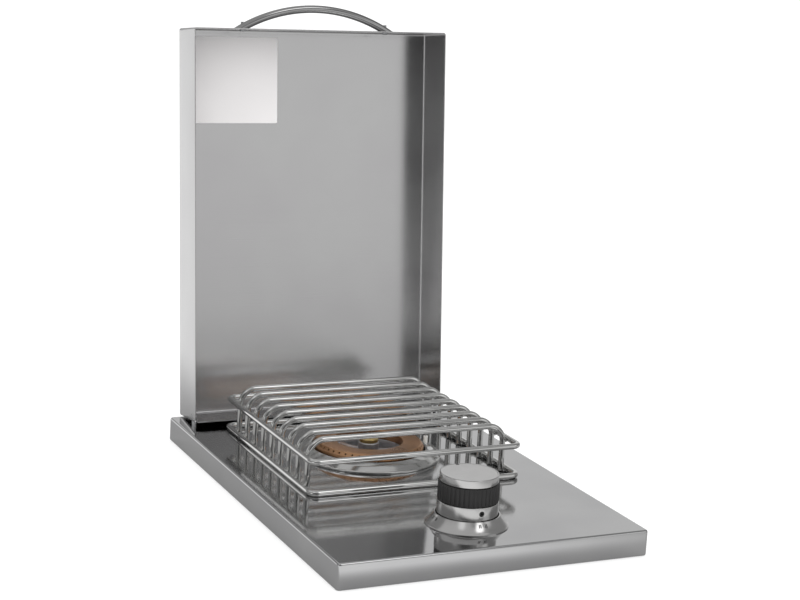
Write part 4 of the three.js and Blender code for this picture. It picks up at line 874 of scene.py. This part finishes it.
knobCap = {"radius": 29.75, "edge": 0.7, "rim": 1.2, "rimSlope": 0.4, "dish": 0.3,
           "fillets": [0.2, 0.3, 0.2, 0.4], "pointerWide": 3.6, "pointerLong": 4.2, "pointerDepth": 0.5,
           "pointerOut": 2.0, "pointerUp": 4.0, "inlayWide": 3.5, "inlayGap": 0.05, "inlayInset": 0.6,
           "inlaySink": 0.2}


def knobCapShape(s, base, top):
    # a turned disc whose top is dished a little inside a narrow rim
    inner, dish = s["radius"] - s["rim"], top - s["dish"]
    profile = [(0, base), (s["radius"] - s["edge"], base), (s["radius"], base + s["edge"]),
               (s["radius"], top), (inner, top), (inner - s["rimSlope"], dish), (0, dish)]
    foot, side, rim, floor = s["fillets"]
    return lathe(fillet(profile, [0, foot, side, s["edge"], rim, floor, 0], 4), 128)


def pointerShapes(s):
    # the slot in the rim of the cap, and the inlay sunk in it
    half, start, floor = s["pointerWide"] / 2, s["radius"] - s["pointerLong"], -s["pointerDepth"]
    slot = block((-half, start, floor), (half, s["radius"] + s["pointerOut"], s["pointerUp"]))
    half = s["inlayWide"] / 2
    inlay = block((-half, start + s["inlayGap"], floor),
                  (half, s["radius"] - s["inlayInset"], -s["inlaySink"]))
    top = nodeBox("knob_cap")[1][2]
    return [moved(shape, *knobAxis[:2], top) for shape in (slot, inlay)]


pointerSlot, inlay = pointerShapes(knobCap)
addPiece("cap_disc", onKnob(knobCapShape, knobCap, "knob_cap"), "knobSteel", "knob",
         ["knob_cap"], [pointerSlot])
addPiece("pointer_inlay", inlay, "dialInk", "knob")

setScrew = {"radius": 2.6, "proud": 0.05, "tipFrom": 3.3, "socket": 1.5, "socketDepth": 1.8,
            "socketOut": 1.0, "edge": 0.35}


def setScrewShapes(s):
    # the screw with its rounded ends and the six-sided cutter of its socket, both laid along Y
    length = skirt["radius"] - s["tipFrom"]
    profile = fillet([(0, 0), (s["radius"], 0), (s["radius"], length), (0, length)],
                     [0, s["edge"], s["edge"], 0], 3)
    place = knobAxis[0], knobAxis[1] - skirt["radius"] - s["proud"], screwZ
    socket = drill(s["socket"], -s["socketOut"], s["socketDepth"], 6)
    return [moved(turned(shape, "X", -pi / 2), *place) for shape in (lathe(profile, 32), socket)]


screw, socket = setScrewShapes(setScrew)
addPiece("socket_screw", screw, "blackSteel", "knob", ["knob_set_screw"], [socket])
print("knob done")

box = {"sheet": 1.0, "bend": 1.6, "edge": 0.1, "vents": 6, "ventPitch": 52.0, "ventWide": 7.0,
       "ventLong": 38.0, "ventDrop": 52.0, "ventReach": 5.0, "ventSteps": 9, "inletHole": 8.3,
       "inletReach": 6.0}
floorLow, floorHigh = nodeBox("burner_box_floor")
boxMiddle = (floorLow + floorHigh) / 2
gasAxis = sum(nodeBox("gas_inlet")) / 2


def panelShape(low, high, flip, s):
    # a wall whose top is folded outwards: the bent strip's outline, carried along Y
    t, bend, edge, wide = s["sheet"], s["bend"], s["edge"], high[0] - low[0]
    foot, top = low[2], high[2]
    outline = fillet([(0, foot), (t, foot), (t, top - t), (wide, top - t), (wide, top), (0, top)],
                     [edge, edge, bend - t, edge, edge, bend], 4)
    points, faces = prism(outline, low[1], high[1])
    inner, outward = (high[0], -1) if flip else (low[0], 1)
    return np.stack([inner + outward * points[:, 0], points[:, 2], points[:, 1]], axis=-1), faces


def ventCuts(s):
    # a stadium outline for each vent, its long side upright, carried right through both walls
    count = s["ventSteps"]
    angle = np.concatenate([np.linspace(-pi / 2, pi / 2, count), np.linspace(pi / 2, 3 * pi / 2, count)])
    radius, run = s["ventWide"] / 2, (s["ventLong"] - s["ventWide"]) / 2
    height = np.repeat([run, -run], count) + radius * np.cos(angle)
    outline = np.stack([radius * np.sin(angle), height], axis=-1)
    cutter = laidOver(prism(outline, floorLow[0] - s["ventReach"], floorHigh[0] + s["ventReach"]))
    first = boxMiddle[1] - s["ventPitch"] * (s["vents"] - 1) / 2
    return [moved(cutter, 0, first + vent * s["ventPitch"], deckTop - s["ventDrop"])
            for vent in range(s["vents"])]


inletAt = (gasAxis[0], floorHigh[1], gasAxis[2])
inletCut = drill(box["inletHole"], -box["inletReach"], box["inletReach"], 32, inletAt, "X")
for word, flip, cuts in (("left", True, ventCuts(box)), ("right", False, ventCuts(box)),
                         ("front", True, ()), ("rear", False, [inletCut])):
    name = "burner_box_" + word
    low, high = nodeBox(name)
    if word in ("left", "right"):
        panel = panelShape(low, high, flip, box)
    else:
        # the same strip, drawn along X and laid over: its x is the panel's y
        points, faces = panelShape(low[[1, 0, 2]], high[[1, 0, 2]], flip, box)
        panel = points[:, [1, 0, 2]], faces
    addPiece("box_panel_" + word, panel, "zincPlate", "frame", [name], cuts)

# the plain pieces inside the box keep their CAD meshes
insideLooks = {
    "zincPlate": ["burner_box_floor", "igniter_strap", "venturi_tube", "air_shutter", "venturi_bracket",
                  "bracket_screw_left", "bracket_screw_right", "gas_pipe", "stem_spring",
                  "bezel_screw_left", "bezel_screw_right", "stem_washer", "knob_core"],
    "valveBrass": ["valve_body", "valve_bonnet", "orifice", "gas_inlet", "inlet_nut", "valve_stem"],
    "gripBlack": ["piezo_igniter"],
}
for look, names in insideLooks.items():
    for name in names:
        frame["nodes"][name].data.materials.clear()
        frame["nodes"][name].data.materials.append(looks[look])
print("box done")

# each ramp: direction in plan, where it starts and ends along it in metres, and the glow that it leads to
studio = {"counterDrop": 0.3, "reach": 15000.0, "well": 140.0, "sides": 64, "tone": 0.5, "glow": 0.5,
          "shinyTone": 0.2, "shinyGlow": 0.16, "roughness": 0.9,
          "ramps": [((0.0, -1.0), 0.02, 0.08, 0.64), ((1.0, -0.2), 0.0, 0.36, 0.2),
                    ((0.35, -0.94), 0.8, 3.0, 0.4), ((-0.45, 0.89), 0.55, 0.95, 0.74)]}


def counterShape(s):
    # a flat ring round a round well below the burner
    radius = np.array([s["reach"], s["well"]])[:, None]
    return moved(gridShape(around(radius, circle(s["sides"]), -s["counterDrop"])), *burnerAt[:2])


def shinyRays(tree):
    # 1 for glossy and transmission rays, else 0
    path = addNode(tree, "LightPath").outputs
    both = {0: path["Is Glossy Ray"], 1: path["Is Transmission Ray"]}
    return addNode(tree, "Math", both, operation="MAXIMUM").outputs[0]


def softStep(tree, vector, direction, low, high):
    # how far the vector lies along the direction, eased from 0 at low to 1 at high
    along = addNode(tree, "VectorMath", {0: vector, 1: tuple(direction)}, operation="DOT_PRODUCT")
    span = {0: along.outputs["Value"], 1: low, 2: high}
    return addNode(tree, "MapRange", span, interpolation_type="SMOOTHSTEP").outputs[0]


def counterLook(s):
    # pale matt slab that glows a little for the camera, so its shadow stays soft; metal sees it darker, with
    # a glow
    # that is painted light: dim beside the deck as painted shade and brighter far off, by how far a place
    # lies along each ramp's direction
    material, tree, shader = newMaterial("paleCounter")
    where = addNode(tree, "TexCoord").outputs["Object"]
    far = s["shinyGlow"]
    for (x, y), start, end, glow in s["ramps"]:
        share = softStep(tree, where, (x, y, 0), start, end)
        far = addNode(tree, "Mix", {0: share, 2: far, 3: glow}).outputs[0]
    shiny = shinyRays(tree)
    camera = addNode(tree, "LightPath").outputs["Is Camera Ray"]
    seen = addNode(tree, "Math", {0: camera, 1: s["glow"]}, operation="MULTIPLY")
    glow = addNode(tree, "Mix", {0: shiny, 2: seen.outputs[0], 3: far})
    tone = addNode(tree, "Mix", {0: shiny, 2: s["tone"], 3: s["shinyTone"]})
    fill(tree, shader, {"Roughness": s["roughness"], "Specular IOR Level": 0.0, "Base Color": tone.outputs[0],
                        "Emission Color": (1, 1, 1, 1), "Emission Strength": glow.outputs[0]})
    return material


counter = makeMesh("counter", counterShape(studio))
counter.data.materials.append(counterLook(studio))

# soft patches of the room as the metal sees it: direction, cosines of its outer and inner edge, brightness
room = {"diffuse": 1.42, "shiny": 0.25, "patches": [
    ((0.42, 0.87, 0.25), 0.8, 0.94, 0.65),
    ((-0.47, 0.88, 0.03), 0.93, 0.985, 0.95),
    ((0.41, -0.91, 0.04), 0.945, 0.982, 0.78),
    ((0.29, -0.57, 0.77), 0.98, 0.992, 2.1),
    ((0.69, -0.58, 0.42), 0.955, 0.985, 0.8),
    ((-0.45, -0.45, 0.77), 0.982, 0.994, 0.7),
    ((-0.9, -0.44, 0.1), 0.975, 0.992, 1.0),
    ((-0.45, -0.89, -0.02), 0.82, 0.95, 0.06),
]}
world = bpy.data.worlds.new("room")
bpy.context.scene.world = world
world.use_nodes = True
tree = world.node_tree
direction = addNode(tree, "TexCoord").outputs["Generated"]
tone = room["shiny"]
for centre, outer, inner, brightness in room["patches"]:
    share = softStep(tree, direction, unit(np.array(centre)), outer, inner)
    tone = addNode(tree, "Mix", {0: share, 2: tone, 3: brightness}).outputs[0]
camera = addNode(tree, "LightPath").outputs["Is Camera Ray"]
level = addNode(tree, "Mix", {0: shinyRays(tree), 2: room["diffuse"], 3: tone})
level = addNode(tree, "Mix", {0: camera, 2: level.outputs[0], 3: 1.0})
fill(tree, tree.nodes["Background"], {"Color": (1, 1, 1, 1), "Strength": level.outputs[0]})


def stand(name, data, place, axes):
    # an object of the scene at a place in millimetres, its axes given as columns
    holder = bpy.data.objects.new(name, data)
    bpy.context.collection.objects.link(holder)
    turn = Matrix(np.column_stack(axes).tolist()).to_4x4()
    holder.matrix_world = Matrix.Translation(np.array(place) * mm) @ turn
    return holder


lamp = {"place": (-300, 100, 1700), "aim": (0, 250, 60), "size": 2600, "power": 5.6}
light = bpy.data.lights.new("top", "AREA")
light.size, light.energy = lamp["size"] * mm, lamp["power"]
back = unit(np.array(lamp["place"], float) - np.array(lamp["aim"], float))
side = unit(np.cross((0, 0, 1), back))
stand("top", light, lamp["place"], [side, np.cross(back, side), back])

view = {"place": (-829.55, -1486.58, 632.15), "yaw": 25.55, "pitch": 12.24, "roll": 3.24, "lens": 83.07,
        "sensor": 36.0, "farthest": 100.0}
yaw, pitch, roll = (radians(view[key]) for key in ("yaw", "pitch", "roll"))
ahead = np.array([sin(yaw) * cos(pitch), cos(yaw) * cos(pitch), -sin(pitch)])
right = np.array([cos(yaw), -sin(yaw), 0])
up = np.cross(right, ahead)
lens = bpy.data.cameras.new("camera")
lens.lens, lens.sensor_width, lens.sensor_fit = view["lens"], view["sensor"], "HORIZONTAL"
lens.clip_end = view["farthest"]
rolled = [right * cos(roll) + up * sin(roll), up * cos(roll) - right * sin(roll), -ahead]
bpy.context.scene.camera = stand("camera", lens, view["place"], rolled)
bpy.context.scene.view_settings.view_transform = "Standard"

print("studio done")
